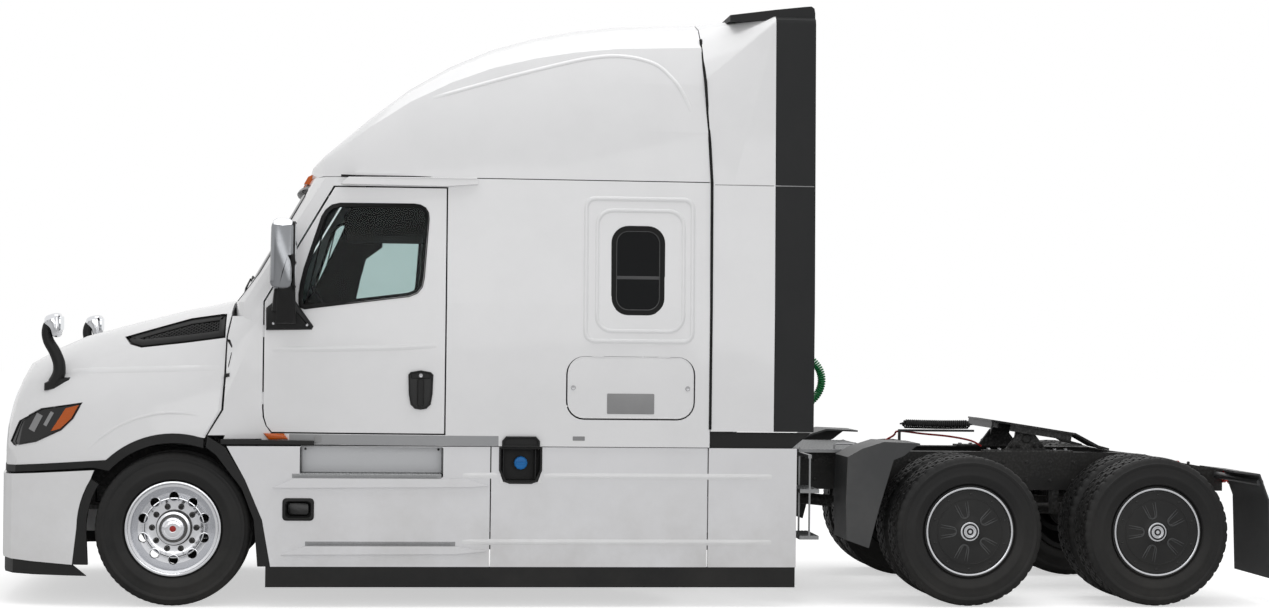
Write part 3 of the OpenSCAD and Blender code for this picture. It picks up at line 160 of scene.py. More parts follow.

# %% [markdown]
# ## Shared effects as node groups
# Dust, speckle and wear turn up on many finishes, each at its own strength, so each is one shader group with named
# inputs; brushing is made in each metal's own material. The groups only put out colours, masks and heights that change
# over the surface; every Principled shader stays in its own material, where a glTF exporter can read it. They read
# Object coordinates, because the CAD meshes have no UVs and sit in the truck's own frame: a height there is a real
# height over the road.

# %% Group maker
def new_group(name, inputs, outputs):
    """An empty shader group with float or colour sockets: {name: default} in, {name: kind} out."""
    tree = bpy.data.node_groups.new(name, "ShaderNodeTree")
    for label, value in inputs.items():
        kind = "NodeSocketColor" if isinstance(value, tuple) else "NodeSocketFloat"
        tree.interface.new_socket(label, in_out="INPUT", socket_type=kind).default_value = value
    for label, kind in outputs.items():
        tree.interface.new_socket(label, in_out="OUTPUT", socket_type="NodeSocket" + kind)
    return tree, tree.nodes.new("NodeGroupInput"), tree.nodes.new("NodeGroupOutput")
def node(tree, kind, link=(), **settings):
    """A node with its properties set: in_NAME sets an input's value, and links are (node, out, in) triples."""
    made = tree.nodes.new("ShaderNode" + kind)
    for key, value in settings.items():
        if not key.startswith("in_"):
            setattr(made, key, value)
    for key, value in settings.items():
        if key.startswith("in_"):
            label = key[3:]
            made.inputs[int(label) if label.isdigit() else label.replace("_", " ")].default_value = value
    for source, out, socket in link:
        tree.links.new(source.outputs[out], made.inputs[socket])
    return made

# %% [markdown]
# Road dust gathers low on a truck and on surfaces that face up. The group mixes a height
# ramp with a broken, cloudy noise, then tints the paint towards a warm grey and dulls it.

# %% Dust group
dust, g_in, g_out = new_group("road_dust", {"Colour": (1, 1, 1, 1), "Roughness": 0.4, "Amount": 0.3, "Top": 1.1,
                                            "Dust Colour": (0.42, 0.40, 0.37, 1)},
                              {"Colour": "Color", "Roughness": "Float", "Mask": "Float"})
place = node(dust, "TexCoord")
split = node(dust, "SeparateXYZ", [(place, "Object", 0)])
fade = node(dust, "MapRange", [(split, "Z", "Value"), (g_in, "Top", "From Max")], in_To_Min=1.0, in_To_Max=0.0)
cloud = node(dust, "TexNoise", [(place, "Object", "Vector")], in_Scale=2.3, in_Detail=6.0, in_Roughness=0.65)
patchy = node(dust, "MapRange", [(cloud, 0, "Value")], in_From_Min=0.35, in_From_Max=0.72)
both = node(dust, "Math", [(fade, 0, 0), (patchy, 0, 1)], operation="MULTIPLY")
mask = node(dust, "Math", [(both, 0, 0), (g_in, "Amount", 1)], operation="MULTIPLY", use_clamp=True)
tint = node(dust, "Mix", [(mask, 0, 0), (g_in, "Colour", 6), (g_in, "Dust Colour", 7)], data_type="RGBA")
dull = node(dust, "Mix", [(mask, 0, 0), (g_in, "Roughness", 2)], data_type="FLOAT", in_3=0.85)
wire(dust, tint, 2, g_out, "Colour")
wire(dust, dull, 0, g_out, "Roughness")
wire(dust, mask, 0, g_out, "Mask")
print("group", dust.name, [s.name for s in dust.interface.items_tree])

# %% [markdown]
# Moulded plastic and rubber are never one even colour: a fine grain in the mould catches the
# light and the sun fades it in soft patches. `grain` gives a colour variation and a height
# for a Bump node, at a size in grains per metre.

# %% Grain group
grain, g_in, g_out = new_group("moulded_grain", {"Colour": (0.02, 0.02, 0.02, 1), "Faded": (0.04, 0.04, 0.04, 1),
                                                 "Grain": 900.0, "Fade": 0.5},
                               {"Colour": "Color", "Height": "Float", "Spots": "Float"})
place = node(grain, "TexCoord")
fine = node(grain, "TexNoise", [(place, "Object", "Vector"), (g_in, "Grain", "Scale")], in_Detail=3.0, in_Roughness=0.6)
soft = node(grain, "TexNoise", [(place, "Object", "Vector")], in_Scale=3.1, in_Detail=5.0, in_Roughness=0.6)
amount = node(grain, "MapRange", [(soft, 0, "Value")], in_From_Min=0.4, in_From_Max=0.75)
share = node(grain, "Math", [(amount, 0, 0), (g_in, "Fade", 1)], operation="MULTIPLY")
tint = node(grain, "Mix", [(share, 0, 0), (g_in, "Colour", 6), (g_in, "Faded", 7)], data_type="RGBA")
wire(grain, tint, 2, g_out, "Colour")
wire(grain, fine, 0, g_out, "Height")
wire(grain, amount, 0, g_out, "Spots")
print("group", grain.name)

# %% [markdown]
# Edges lose their finish first. The Geometry node's Pointiness is high on convex edges; a
# noise breaks it so that wear comes in chips and not as an outline.

# %% Edge wear group
wear, g_in, g_out = new_group("edge_wear", {"Colour": (0.1, 0.1, 0.1, 1), "Bare": (0.35, 0.34, 0.32, 1), "Amount": 0.5},
                              {"Colour": "Color", "Mask": "Float"})
place, shape = node(wear, "TexCoord"), node(wear, "NewGeometry")
chips = node(wear, "TexNoise", [(place, "Object", "Vector")], in_Scale=60.0, in_Detail=4.0)
edge = node(wear, "MapRange", [(shape, "Pointiness", "Value")], in_From_Min=0.53, in_From_Max=0.62)
broken = node(wear, "MapRange", [(chips, 0, "Value")], in_From_Min=0.45, in_From_Max=0.62)
product = node(wear, "Math", [(edge, 0, 0), (broken, 0, 1)], operation="MULTIPLY")
mask = node(wear, "Math", [(product, 0, 0), (g_in, "Amount", 1)], operation="MULTIPLY", use_clamp=True)
tint = node(wear, "Mix", [(mask, 0, 0), (g_in, "Colour", 6), (g_in, "Bare", 7)], data_type="RGBA")
wire(wear, tint, 2, g_out, "Colour")
wire(wear, mask, 0, g_out, "Mask")
print("group", wear.name)

# %% [markdown]
# ## Finishes
# Each finish is one material. `finish` puts a Principled shader in it and sets the plain
# numbers straight on the shader's sockets; the patterned ones come from the groups.

# %% Finish maker
FINISH = {}
def finish(name, **sockets):
    material = bpy.data.materials.new(name)
    material.use_nodes = True
    tree = material.node_tree
    shader = tree.nodes["Principled BSDF"]
    for label, value in sockets.items():
        shader.inputs[label.replace("_", " ")].default_value = value
    FINISH[name] = material
    return tree, shader
def bump(tree, shader, source, out, depth, strength=0.5):
    made = node(tree, "Bump", [(source, out, "Height")], in_Strength=strength, in_Distance=depth)
    wire(tree, made, "Normal", shader, "Normal")
    return made
def use(tree, group, **values):
    made = tree.nodes.new("ShaderNodeGroup")
    made.node_tree = group
    for label, value in values.items():
        made.inputs[label.replace("_", " ")].default_value = value
    return made
def srgb(*levels):
    """A colour as a paint chart gives it, 0 to 255, as the shader wants it."""
    levels = levels * 3 if len(levels) == 1 else levels
    return tuple((v / 255 / 12.92 if v <= 10 else ((v / 255 + 0.055) / 1.055) ** 2.4) for v in levels) + (1,)

# %% [markdown]
# The body is white two-pack paint over fibreglass and steel. The clear coat is a Coat layer;
# under it the colour drifts very slightly, dust lies low down, and a faint orange peel bends
# the reflections.

# %% White paint
def painted(name, colour, top=1.25, amount=0.35):
    tree, shader = finish(name, Coat_Weight=0.6, Coat_Roughness=0.06, Specular_IOR_Level=0.35)
    drift = use(tree, grain, Colour=colour, Faded=tuple(c * 0.965 for c in colour[:3]) + (1,), Grain=160.0, Fade=1.0)
    dirt = use(tree, dust, Roughness=0.32, Amount=amount, Top=top)
    wire(tree, drift, "Colour", dirt, "Colour")
    wire(tree, dirt, "Colour", shader, "Base Color")
    wire(tree, dirt, "Roughness", shader, "Roughness")
    bump(tree, shader, drift, "Height", 0.0004, 0.06)
painted("white_paint", srgb(229, 229, 230))
painted("fairing_white", srgb(224, 224, 226), 1.15, 0.5)
print("painted", list(FINISH))

# %% [markdown]
# Frame, axles and springs wear thin black chassis paint: semi-gloss, chipped at the edges and
# dusty. Cast parts are the same with more grain.

# %% Chassis black, cast iron and engine paint
def chassis(name, colour, worn, rough, metal, grit, amount=0.45):
    tree, shader = finish(name, Metallic=metal, Specular_IOR_Level=0.3)
    body = use(tree, grain, Colour=colour, Faded=tuple(min(1, c * 1.7) for c in colour[:3]) + (1,), Grain=grit,
        Fade=0.6)
    edge = use(tree, wear, Bare=worn, Amount=0.6)
    dirt = use(tree, dust, Roughness=rough, Amount=amount, Top=1.3, Dust_Colour=srgb(112, 106, 98))
    wire(tree, body, "Colour", edge, "Colour")
    wire(tree, edge, "Colour", dirt, "Colour")
    wire(tree, dirt, "Colour", shader, "Base Color")
    wire(tree, dirt, "Roughness", shader, "Roughness")
    bump(tree, shader, body, "Height", 0.0012, 0.25)
chassis("frame_black", srgb(24), srgb(70), 0.5, 0.0, 260.0, 0.22)
chassis("cast_steel", srgb(44), srgb(96), 0.55, 0.3, 180.0, 0.3)
chassis("plate_grease", srgb(30), srgb(84), 0.35, 0.2, 240.0, 0.15)
chassis("engine_grey", srgb(78), srgb(130), 0.5, 0.2, 140.0, 0.35)
print("chassis finishes", len(FINISH))

# %% [markdown]
# Black mouldings, rubber and tyres differ in how they shine: a moulding is semi-matt with a leather-like grain, seals
# are matt, and a tyre is matt with brown-grey dust low down.

# %% Plastics and rubber
def moulded(name, colour, faded, rough, grit, depth, dirt_amount, top=1.2, spec=0.3):
    tree, shader = finish(name, Specular_IOR_Level=spec)
    body = use(tree, grain, Colour=colour, Faded=faded, Grain=grit, Fade=0.7)
    dirt = use(tree, dust, Roughness=rough, Amount=dirt_amount, Top=top, Dust_Colour=srgb(96, 93, 88))
    wire(tree, body, "Colour", dirt, "Colour")
    wire(tree, dirt, "Colour", shader, "Base Color")
    wire(tree, dirt, "Roughness", shader, "Roughness")
    bump(tree, shader, body, "Height", depth, 0.3)
moulded("black_plastic", srgb(13), srgb(19), 0.5, 700.0, 0.0006, 0.1)
moulded("flap_rubber", srgb(24, 25, 26), srgb(31, 31, 32), 0.6, 420.0, 0.0006, 0.05)
moulded("dark_rubber", srgb(16), srgb(26), 0.65, 500.0, 0.0006, 0.12, spec=0.2)
moulded("guard_plastic", srgb(54, 55, 56), srgb(72), 0.42, 520.0, 0.0008, 0.15, spec=0.45)
moulded("wheel_cover", srgb(24), srgb(36), 0.42, 800.0, 0.0004, 0.12, 0.9)
moulded("tyre_rubber", srgb(19), srgb(30, 29, 28), 0.55, 300.0, 0.0008, 0.22, 0.75, 0.3)
moulded("interior_grey", srgb(64, 65, 68), srgb(84), 0.62, 900.0, 0.0006, 0.0)
moulded("interior_dark", srgb(14, 15, 16), srgb(24), 0.8, 900.0, 0.0006, 0.0, spec=0.1)
print("mouldings", len(FINISH))

# %% [markdown]
# Bright metal comes polished (wheels, mirror heads), brushed (step plates) and as chrome. A
# brushed look is a noise stretched along the brushing; on the polished wheels only a faint
# haze of brake dust is left.

# %% Bright metals
def bright(name, colour, rough, spread, stretch, depth, dirt_amount=0.1):
    tree, shader = finish(name, Metallic=1.0)
    place = node(tree, "TexCoord")
    turn = node(tree, "Mapping", [(place, "Object", "Vector")], in_Scale=stretch)
    lines = node(tree, "TexNoise", [(turn, 0, "Vector")], in_Scale=40.0, in_Detail=5.0, in_Roughness=0.6)
    gloss = node(tree, "MapRange", [(lines, 0, "Value")], in_From_Min=0.3, in_From_Max=0.7,
                 in_To_Min=rough - spread, in_To_Max=rough + spread)
    dirt = use(tree, dust, Colour=colour, Amount=dirt_amount, Top=1.0, Dust_Colour=srgb(92, 88, 84))
    wire(tree, gloss, 0, dirt, "Roughness")
    wire(tree, dirt, "Colour", shader, "Base Color")
    wire(tree, dirt, "Roughness", shader, "Roughness")
    bump(tree, shader, lines, 0, depth, 0.2)
bright("polished_aluminium", srgb(214, 215, 218), 0.2, 0.04, (1, 1, 1), 0.0001, 0.08)
bright("brushed_steel", srgb(168, 168, 170), 0.36, 0.08, (1, 40, 40), 0.0002)
bright("tread_aluminium", srgb(140, 141, 142), 0.42, 0.1, (3, 3, 3), 0.0006, 0.35)
bright("mirror_shell", srgb(140, 142, 145), 0.22, 0.04, (1, 1, 1), 0.0002, 0.0)
bright("chrome", srgb(222, 223, 226), 0.08, 0.03, (1, 1, 1), 0.0001, 0.05)
bright("mirror_glass", srgb(208, 212, 216), 0.04, 0.02, (1, 1, 1), 0.00005, 0.0)
bright("tank_aluminium", srgb(150, 152, 155), 0.4, 0.08, (1, 12, 12), 0.0003, 0.5)
print("metals", len(FINISH))

# %% [markdown]
# The glass is thin and tinted. Transmission stays a plain number; a noise hazes the roughness a touch in patches and
# shifts the tint a little. Sleeper panes are much darker. The windows get a low index, because a strong reflection of
# the sky would hide the cab's inside.

# %% Glass and lamp lenses
def glass(name, colour, rough, clear=1.0):
    tree, shader = finish(name, Transmission_Weight=clear, IOR=1.45, Specular_IOR_Level=0.4)
    haze = node(tree, "TexNoise", [(node(tree, "TexCoord"), "Object", "Vector")], in_Scale=7.0, in_Detail=5.0)
    level = node(tree, "MapRange", [(haze, 0, "Value")], in_From_Min=0.4, in_From_Max=0.8, in_To_Min=rough,
        in_To_Max=rough + 0.07)
    shade = node(tree, "Mix", [(haze, 0, 0)], data_type="RGBA", in_6=colour, in_7=tuple(c * 0.9
        for c in colour[:3]) + (1,))
    wire(tree, shade, 2, shader, "Base Color")
    wire(tree, level, 0, shader, "Roughness")
    return tree, shader
glass("window_glass", (0.62, 0.72, 0.71, 1), 0.0)[1].inputs["IOR"].default_value = 1.16
glass("sleeper_glass", (0.006, 0.007, 0.008, 1), 0.03, 0.4)[1].inputs["IOR"].default_value = 1.16
glass("clear_lens", (0.93, 0.95, 0.96, 1), 0.0)
glass("amber_lens", srgb(226, 104, 14), 0.12, 0.35)
glass("red_lens", srgb(190, 26, 18), 0.14, 0.35)
print("glasses", len(FINISH))

# %% [markdown]
# Seats and the mattress are in a woven grey cloth: two crossed wave patterns give the weave
# its height, and a soft noise mottles the dye. The floor mat is ribbed rubber.

# %% Cloth, mat, cable and small colours
def cloth(name, colour, faded, threads):
    tree, shader = finish(name, Roughness=0.9, Sheen_Weight=0.3, Sheen_Roughness=0.4, Specular_IOR_Level=0.2)
    place = node(tree, "TexCoord")
    warp = node(tree, "TexWave", [(place, "Object", "Vector")], bands_direction="X", in_Scale=threads,
        in_Distortion=0.3)
    weft = node(tree, "TexWave", [(place, "Object", "Vector")], bands_direction="Y", in_Scale=threads,
        in_Distortion=0.3)
    weave = node(tree, "Math", [(warp, 1, 0), (weft, 1, 1)], operation="MAXIMUM")
    body = use(tree, grain, Colour=colour, Faded=faded, Grain=400.0, Fade=0.8)
    shade = node(tree, "Mix", [(weave, 0, 0), (body, "Colour", 7)], data_type="RGBA", in_6=tuple(c * 0.6
        for c in colour[:3]) + (1,))
    wire(tree, shade, 2, shader, "Base Color")
    bump(tree, shader, weave, 0, 0.0008, 0.5)
cloth("seat_cloth", srgb(70, 71, 75), srgb(92, 92, 95), 60.0)
cloth("mattress_cloth", srgb(138, 140, 146), srgb(160, 160, 164), 50.0)
moulded("floor_grey", srgb(50), srgb(74, 72, 70), 0.8, 120.0, 0.002, 0.6, 1.6)
moulded("cable_green", srgb(18, 112, 58), srgb(34, 128, 74), 0.38, 300.0, 0.0003, 0.0)
moulded("hose_black", srgb(20), srgb(30), 0.45, 300.0, 0.0004, 0.0)
moulded("hose_red", srgb(150, 26, 24), srgb(168, 52, 44), 0.45, 300.0, 0.0004, 0.1)
moulded("cap_blue", srgb(22, 108, 178), srgb(50, 128, 190), 0.4, 300.0, 0.0003, 0.05)
moulded("tag_yellow", srgb(216, 196, 24), srgb(200, 182, 50), 0.45, 300.0, 0.0003, 0.1)
moulded("lamp_black", srgb(14), srgb(20), 0.25, 300.0, 0.0002, 0.05, spec=0.4)
moulded("plate_grey", srgb(138, 138, 139), srgb(150), 0.5, 240.0, 0.0004, 0.0)
moulded("vent_black", srgb(20), srgb(26), 0.5, 300.0, 0.0005, 0.05)
# the sill's grey is painted shade where the white body tucks under the doors
painted("sill_grey", srgb(150, 151, 153), 1.4, 0.4)
bright("kick_plate_steel", srgb(172, 173, 175), 0.45, 0.08, (1, 30, 30), 0.0002, 0.15)
print("all finishes", len(FINISH))

# %% [markdown]
# ## Finishing the CAD panels
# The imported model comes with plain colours. Each node gets its finish by swapping the material
# in its slots, which leaves its mesh alone. Big pressed panels are drawn in facets, so their
# normals are averaged over neighbouring facets that meet at a shallow angle; sharper folds
# stay crisp.

# %% Smooth normals
def soften(obj, limit):
    """Average the normals of faces that meet at less than limit degrees, over split points too."""
    mesh = obj.data
    count = len(mesh.loops)
    corner = np.empty(count, np.int32); mesh.loops.foreach_get("vertex_index", corner)
    co = np.empty(len(mesh.vertices) * 3); mesh.vertices.foreach_get("co", co)
    key = np.unique(np.round(co.reshape(-1, 3) * 20000).astype(np.int64), axis=0,
        return_inverse=True)[1].ravel()[corner]
    faces = len(mesh.polygons)
    flat = np.empty(faces * 3); mesh.polygons.foreach_get("normal", flat)
    area = np.empty(faces); mesh.polygons.foreach_get("area", area)
    total = np.empty(faces, np.int32); mesh.polygons.foreach_get("loop_total", total)
    flat, owner = flat.reshape(-1, 3), np.repeat(np.arange(faces), total)
    order = np.argsort(key, kind="stable")
    starts = np.flatnonzero(np.r_[True, np.diff(key[order]) > 0, True])
    out, least = np.empty((count, 3)), cos(radians(limit))
    for a, b in zip(starts[:-1], starts[1:]):
        loops = order[a:b]
        n = flat[owner[loops]]
        near = (n @ n.T) > least
        out[loops] = near @ (n * np.sqrt(area[owner[loops]])[:, None])
    length = np.linalg.norm(out, axis=1, keepdims=True)
    out = np.where(length > 1e-9, out / np.maximum(length, 1e-9), flat[owner])
    mesh.polygons.foreach_set("use_smooth", np.ones(faces, bool))
    mesh.normals_split_custom_set(out.tolist())

# %% Give every node its finish
NODE_FINISH = {"white_paint": ["front_bumper", "cab_side_walls", "cab_back_wall", "cab_front", "roof_fairing",
    "side_extenders", "hood_shell", "door_left", "door_right", "luggage_door_left", "luggage_door_right"],
    "fairing_white": ["side_fairings"], "frame_black": ["chassis_frame", "axles", "suspension", "prop_shafts"],
    "black_plastic": ["lower_trim", "grille", "hood_mirrors", "hood_trim", "trailer_sockets", "steering_wheel"],
    "flap_rubber": ["extender_flaps"], "guard_plastic": ["rear_mudguards"],
    "window_glass": ["door_glass_left", "door_glass_right"], "sleeper_glass": ["cab_glass"],
    "clear_lens": ["headlights"], "engine_grey": ["engine"], "tank_aluminium": ["fuel_tanks"],
    "tread_aluminium": ["steps_and_deck"], "plate_grease": ["fifth_wheel_plate"],
    "cast_steel": ["fifth_wheel_base", "knuckle_left", "knuckle_right", "tie_rod"], "interior_dark": ["dashboard"],
    "floor_grey": ["cab_floor"], "seat_cloth": ["seats", "bunk"], "cable_green": ["trailer_cable"],
    "hose_black": ["air_hoses"], "mirror_shell": ["side_mirror_left", "side_mirror_right"],
    "polished_aluminium": ["front_wheel_left", "front_wheel_right"],
    "wheel_cover": ["drive_wheels_front_left", "drive_wheels_front_right", "drive_wheels_rear_left",
    "drive_wheels_rear_right"], "tyre_rubber": ["front_tyre_left", "front_tyre_right", "drive_tyres_front_left",
    "drive_tyres_front_right", "drive_tyres_rear_left", "drive_tyres_rear_right"]}
SOFTEN = {"hood_shell": 24, "hood_trim": 24, "grille": 24, "headlights": 24, "front_bumper": 24, "cab_front": 24,
    "cab_side_walls": 20, "roof_fairing": 22, "door_left": 20, "door_right": 20, "side_extenders": 40,
    "extender_flaps": 22, "luggage_door_left": 20, "luggage_door_right": 20, "cab_glass": 24, "door_glass_left": 20,
    "door_glass_right": 20}
for finish_name, names in NODE_FINISH.items():
    for name in names:
        if name in NODES:
            NODES[name].data.materials.clear()
            NODES[name].data.materials.append(FINISH[finish_name])
for name, obj in NODES.items():
    soften(obj, SOFTEN.get(name, 28))
print("unfinished nodes", [n for n, o in NODES.items() if o.data.materials[0].name not in FINISH])

# %% [markdown]
# ## Making shapes
# A shape here is a list of corners and a list of faces, in station, side and height
# millimetres. Working in plain lists lets one short function make a bracket, another a lamp,
# and shapes add up before they become a Blender mesh. Corners are always broken by a small
# chamfer, because real edges catch a line of light.

# %% Solids from outlines
def solid(points):
    """The smallest closed shape round some points."""
    bm = bmesh.new()
    for p in points:
        bm.verts.new(p)
    out = bmesh.ops.convex_hull(bm, input=bm.verts)
    bmesh.ops.delete(bm, geom=[g for g in {*out["geom_interior"], *out["geom_unused"]}
        if isinstance(g, bmesh.types.BMVert)], context="VERTS")
    bm.verts.index_update()
    shape = ([v.co.copy() for v in bm.verts], [[v.index for v in f.verts] for f in bm.faces])
    bm.free()
    return shape
def join(*shapes):
    """Several shapes as one."""
    corners, faces = [], []
    for c, f in shapes:
        faces += [[i + len(corners) for i in face] for face in f]
        corners += list(c)
    return corners, faces
def box(d, y, z, cut=2.0):
    """A block between pairs of stations, sides and heights, with its edges broken."""
    points = []
    for i in range(2):
        for j in range(2):
            for k in range(2):
                corner = Vector((d[i], y[j], z[k]))
                for axis in range(3):
                    shift = Vector((cut * (1 - 2 * i), cut * (1 - 2 * j), cut * (1 - 2 * k)))
                    shift[axis] = 0
                    points.append(corner + shift)
    return solid(points)
def inset(outline, by):
    """A closed outline moved inwards (or outwards for a negative amount)."""
    n, area = len(outline), sum(a[0] * b[1] - b[0] * a[1] for a, b in zip(outline, outline[1:] + outline[:1]))
    sign, moved = (1 if area > 0 else -1), []
    for i in range(n):
        before, here, after = Vector(outline[i - 1]), Vector(outline[i]), Vector(outline[(i + 1) % n])
        one, two = (here - before).normalized(), (after - here).normalized()
        turn = Vector((-one.y - two.y, one.x + two.x)) * sign
        reach = turn.length_squared
        moved.append(tuple(here + turn * (2 * by / reach if reach > 0.3 else 0.0)))
    return moved
def stack(rings, cap=True, closed=True):
    """Rings of equally many points, skinned one to the next, with flat ends."""
    n = len(rings[0])
    corners = [Vector(p) for ring in rings for p in ring]
    faces = [[a * n + i, a * n + (i + 1) % n, (a + 1) * n + (i + 1) % n, (a + 1) * n + i]
             for a in range(len(rings) - 1) for i in range(n if closed else n - 1)]
    if cap:
        faces += [list(range(n))[::-1], [(len(rings) - 1) * n + i for i in range(n)]]
    return corners, faces
def lay(outline, axis, at_level):
    """Outline points in space: across the truck (axis y), along it (d) or seen from above (z)."""
    if axis == "y":
        return [(p[0], at_level, p[1]) for p in outline]
    return [(at_level, p[0], p[1]) if axis == "d" else (p[0], p[1], at_level) for p in outline]
def plate(outline, axis, lo, hi, cut=1.5):
    """An outline given thickness, both edges broken."""
    small = inset(outline, cut)
    return stack([lay(small, axis, lo), lay(outline, axis, lo + cut), lay(outline, axis, hi - cut),
        lay(small, axis, hi)])
def layers(outline, axis, steps, cap=True):
    """An outline skinned through several levels: steps is (inset, level) pairs."""
    return stack([lay(inset(outline, by), axis, level) for by, level in steps], cap)
def frame_plate(outline, width, axis, lo, hi, cut=1.5):
    """A flat rim of some width inside an outline."""
    steps = [(cut, lo), (0, lo + cut), (0, hi - cut), (cut, hi), (width - cut, hi), (width, hi - cut),
        (width, lo + cut), (width - cut, lo)]
    rings = [lay(inset(outline, by), axis, level) for by, level in steps]
    return stack(rings + [rings[0]], cap=False)
def rounded(d0, d1, z0, z1, r, n=5):
    """A rectangle with round corners."""
    spots = [(d1 - r, z1 - r, 0), (d0 + r, z1 - r, 90), (d0 + r, z0 + r, 180), (d1 - r, z0 + r, 270)]
    return [(x + r * cos(radians(a + 90 * i / n)), z + r * sin(radians(a + 90 * i / n)))
            for x, z, a in spots for i in range(n + 1)]
def turned(profile, d, y, z, n=48, axis="y", side=1):
    """A profile of (radius, distance along the axis) spun round an axis through a point."""
    rings = []
    for r, h in profile:
        ring = []
        for i in range(n):
            a, b = r * cos(tau * i / n), r * sin(tau * i / n)
            ring.append({"y": (d + a, y + side * h, z + b), "d": (d + h, y + a, z + b),
                "z": (d + a, y + b, z + h)}[axis])
        rings.append(ring)
    return stack(rings, cap=False)
def pipe(path, r, n=10):
    """A round bar along points."""
    path, rings = [Vector(p) for p in path], []
    up = Vector((0, 0, 1))
    for i, p in enumerate(path):
        ahead = (path[min(i + 1, len(path) - 1)] - path[max(i - 1, 0)]).normalized()
        across = ahead.cross(up)
        across = (across if across.length > 0.05 else ahead.cross(Vector((0, 1, 0)))).normalized()
        up = across.cross(ahead).normalized()
        width = r[i] if isinstance(r, (list, tuple)) else r
        rings.append([p + width * (cos(tau * k / n) * across + sin(tau * k / n) * up) for k in range(n)])
    return stack(rings)
def curve(points, n=6):
    """A smooth line through chosen points."""
    pts, out = [Vector(p) for p in points], []
    for i in range(len(pts) - 1):
        a, b, c, e = pts[max(i - 1, 0)], pts[i], pts[i + 1], pts[min(i + 2, len(pts) - 1)]
        for k in range(n):
            t = k / n
            square, cube = 2 * a - 5 * b + 4 * c - e, 3 * b - a - 3 * c + e
            out.append(0.5 * (2 * b + (c - a) * t + square * t * t + cube * t ** 3))
    return out + [pts[-1]]
print("box corners", len(box((0, 10), (0, 10), (0, 10))[0]))

# %% [markdown]
# A piece becomes one mesh object that rides on a body. Most things on a truck come in pairs,
# so a piece can be mirrored: on the fixed cab both halves share one object, and on doors,
# wheels and other moving bodies the right-hand copy rides on the right-hand body.

# %% Put a piece on the truck
def add(name, shape, body, finish_name, slot=None, pair=False, crease=35):
    """Make a piece. The slot argument is not used."""
    made, slot = [], slot or finish_name
    for side, rides in ((1, body), (-1, body.replace("left", "right"))):
        if side < 0 and not pair:
            break
        corners = [at(p[0], side * p[1], p[2]) for p in shape[0]]
        faces = [list(f) for f in shape[1]]
        if pair and "left" not in body:
            if side < 0:
                break
            faces += [[i + len(corners) for i in f] for f in shape[1]]
            corners += [at(p[0], -p[1], p[2]) for p in shape[0]]
        label = name + (("_left", "_right")[side < 0] if pair and "left" in body else "")
        mesh = bpy.data.meshes.new(label)
        mesh.from_pydata(corners, [], faces)
        bm = bmesh.new()
        bm.from_mesh(mesh)
        bmesh.ops.remove_doubles(bm, verts=bm.verts, dist=0.00002)
        bmesh.ops.recalc_face_normals(bm, faces=bm.faces)
        bm.to_mesh(mesh)
        bm.free()
        mesh.materials.append(FINISH[finish_name])
        mesh.polygons.foreach_set("use_smooth", [True] * len(mesh.polygons))
        mesh.set_sharp_from_angle(angle=radians(crease))
        obj = bpy.data.objects.new(label, mesh)
        scene.collection.objects.link(obj)
        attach(obj, rides)
        made.append(obj)
    return made
ROOT = "cab_and_frame"
OUTSIDE, INWARDS = 1600, (0, -1, 0)  # a ray's start, clear of every panel, and its way

# %% [markdown]
# Trim sits on curved panels, so its place across the truck is measured on the panel itself: a
# ray is sent inwards (or down, or back) and the trim is laid where it lands.

# %% Feel for a panel's surface
TREES = {}
def touch(names, start, ahead):
    """Where a ray from start first meets the named nodes, in truck millimetres, or None."""
    best = None
    for name in names if isinstance(names, (list, tuple)) else [names]:
        if name not in TREES:
            mesh = NODES[name].data
            TREES[name] = BVHTree.FromPolygons([v.co for v in mesh.vertices], [list(p.vertices) for p in mesh.polygons])
        spot, _, _, far = TREES[name].ray_cast(at(*start), Vector((-ahead[0], ahead[1], ahead[2])).normalized())
        if spot is not None and (best is None or far < best[1]):
            best = (spot, far)
    return None if best is None else ((FRONT_AXLE - best[0].x) * 1000, best[0].y * 1000, best[0].z * 1000)
def side_of(names, d, z, default=HALF_W):
    """How far out the left side of some nodes is at a station and height."""
    spot = touch(names, (d, OUTSIDE, z), INWARDS)
    return default if spot is None else spot[1]
def on_side(names, outline, levels, default=None):
    """Rings that follow an outline on a panel: levels is (inset, how far out) pairs."""
    rings, last = [], default if default is not None else HALF_W
    for by, out in levels:
        ring = []
        for p in inset(outline, by):
            spot = touch(names, (p[0], OUTSIDE, p[1]), INWARDS)
            last = spot[1] if spot and spot[1] > HALF_W - 520 else last
            ring.append((p[0], last + out, p[1]))
        rings.append(ring)
    return rings
def refine(outline, step):
    """An outline with points no further apart than a step, so that it can follow a curved panel."""
    out = []
    for a, b in zip(outline, outline[1:] + outline[:1]):
        n = max(1, ceil(dist(a, b) / step))
        out += [tuple(Vector(a).lerp(Vector(b), k / n)) for k in range(n)]
    return out
print("door side at its handle", round(side_of("door_left", 1400, 1500), 1))

# %% [markdown]
# ## Cords first
# The trailer's power cable is a coiled green cord: a long helix that leaves the upper socket,
# hangs in one big loop behind the sleeper and is parked in the lower socket. Its helix is
# worked out in a loop round the line along which it hangs. Straight ends go into the plugs.

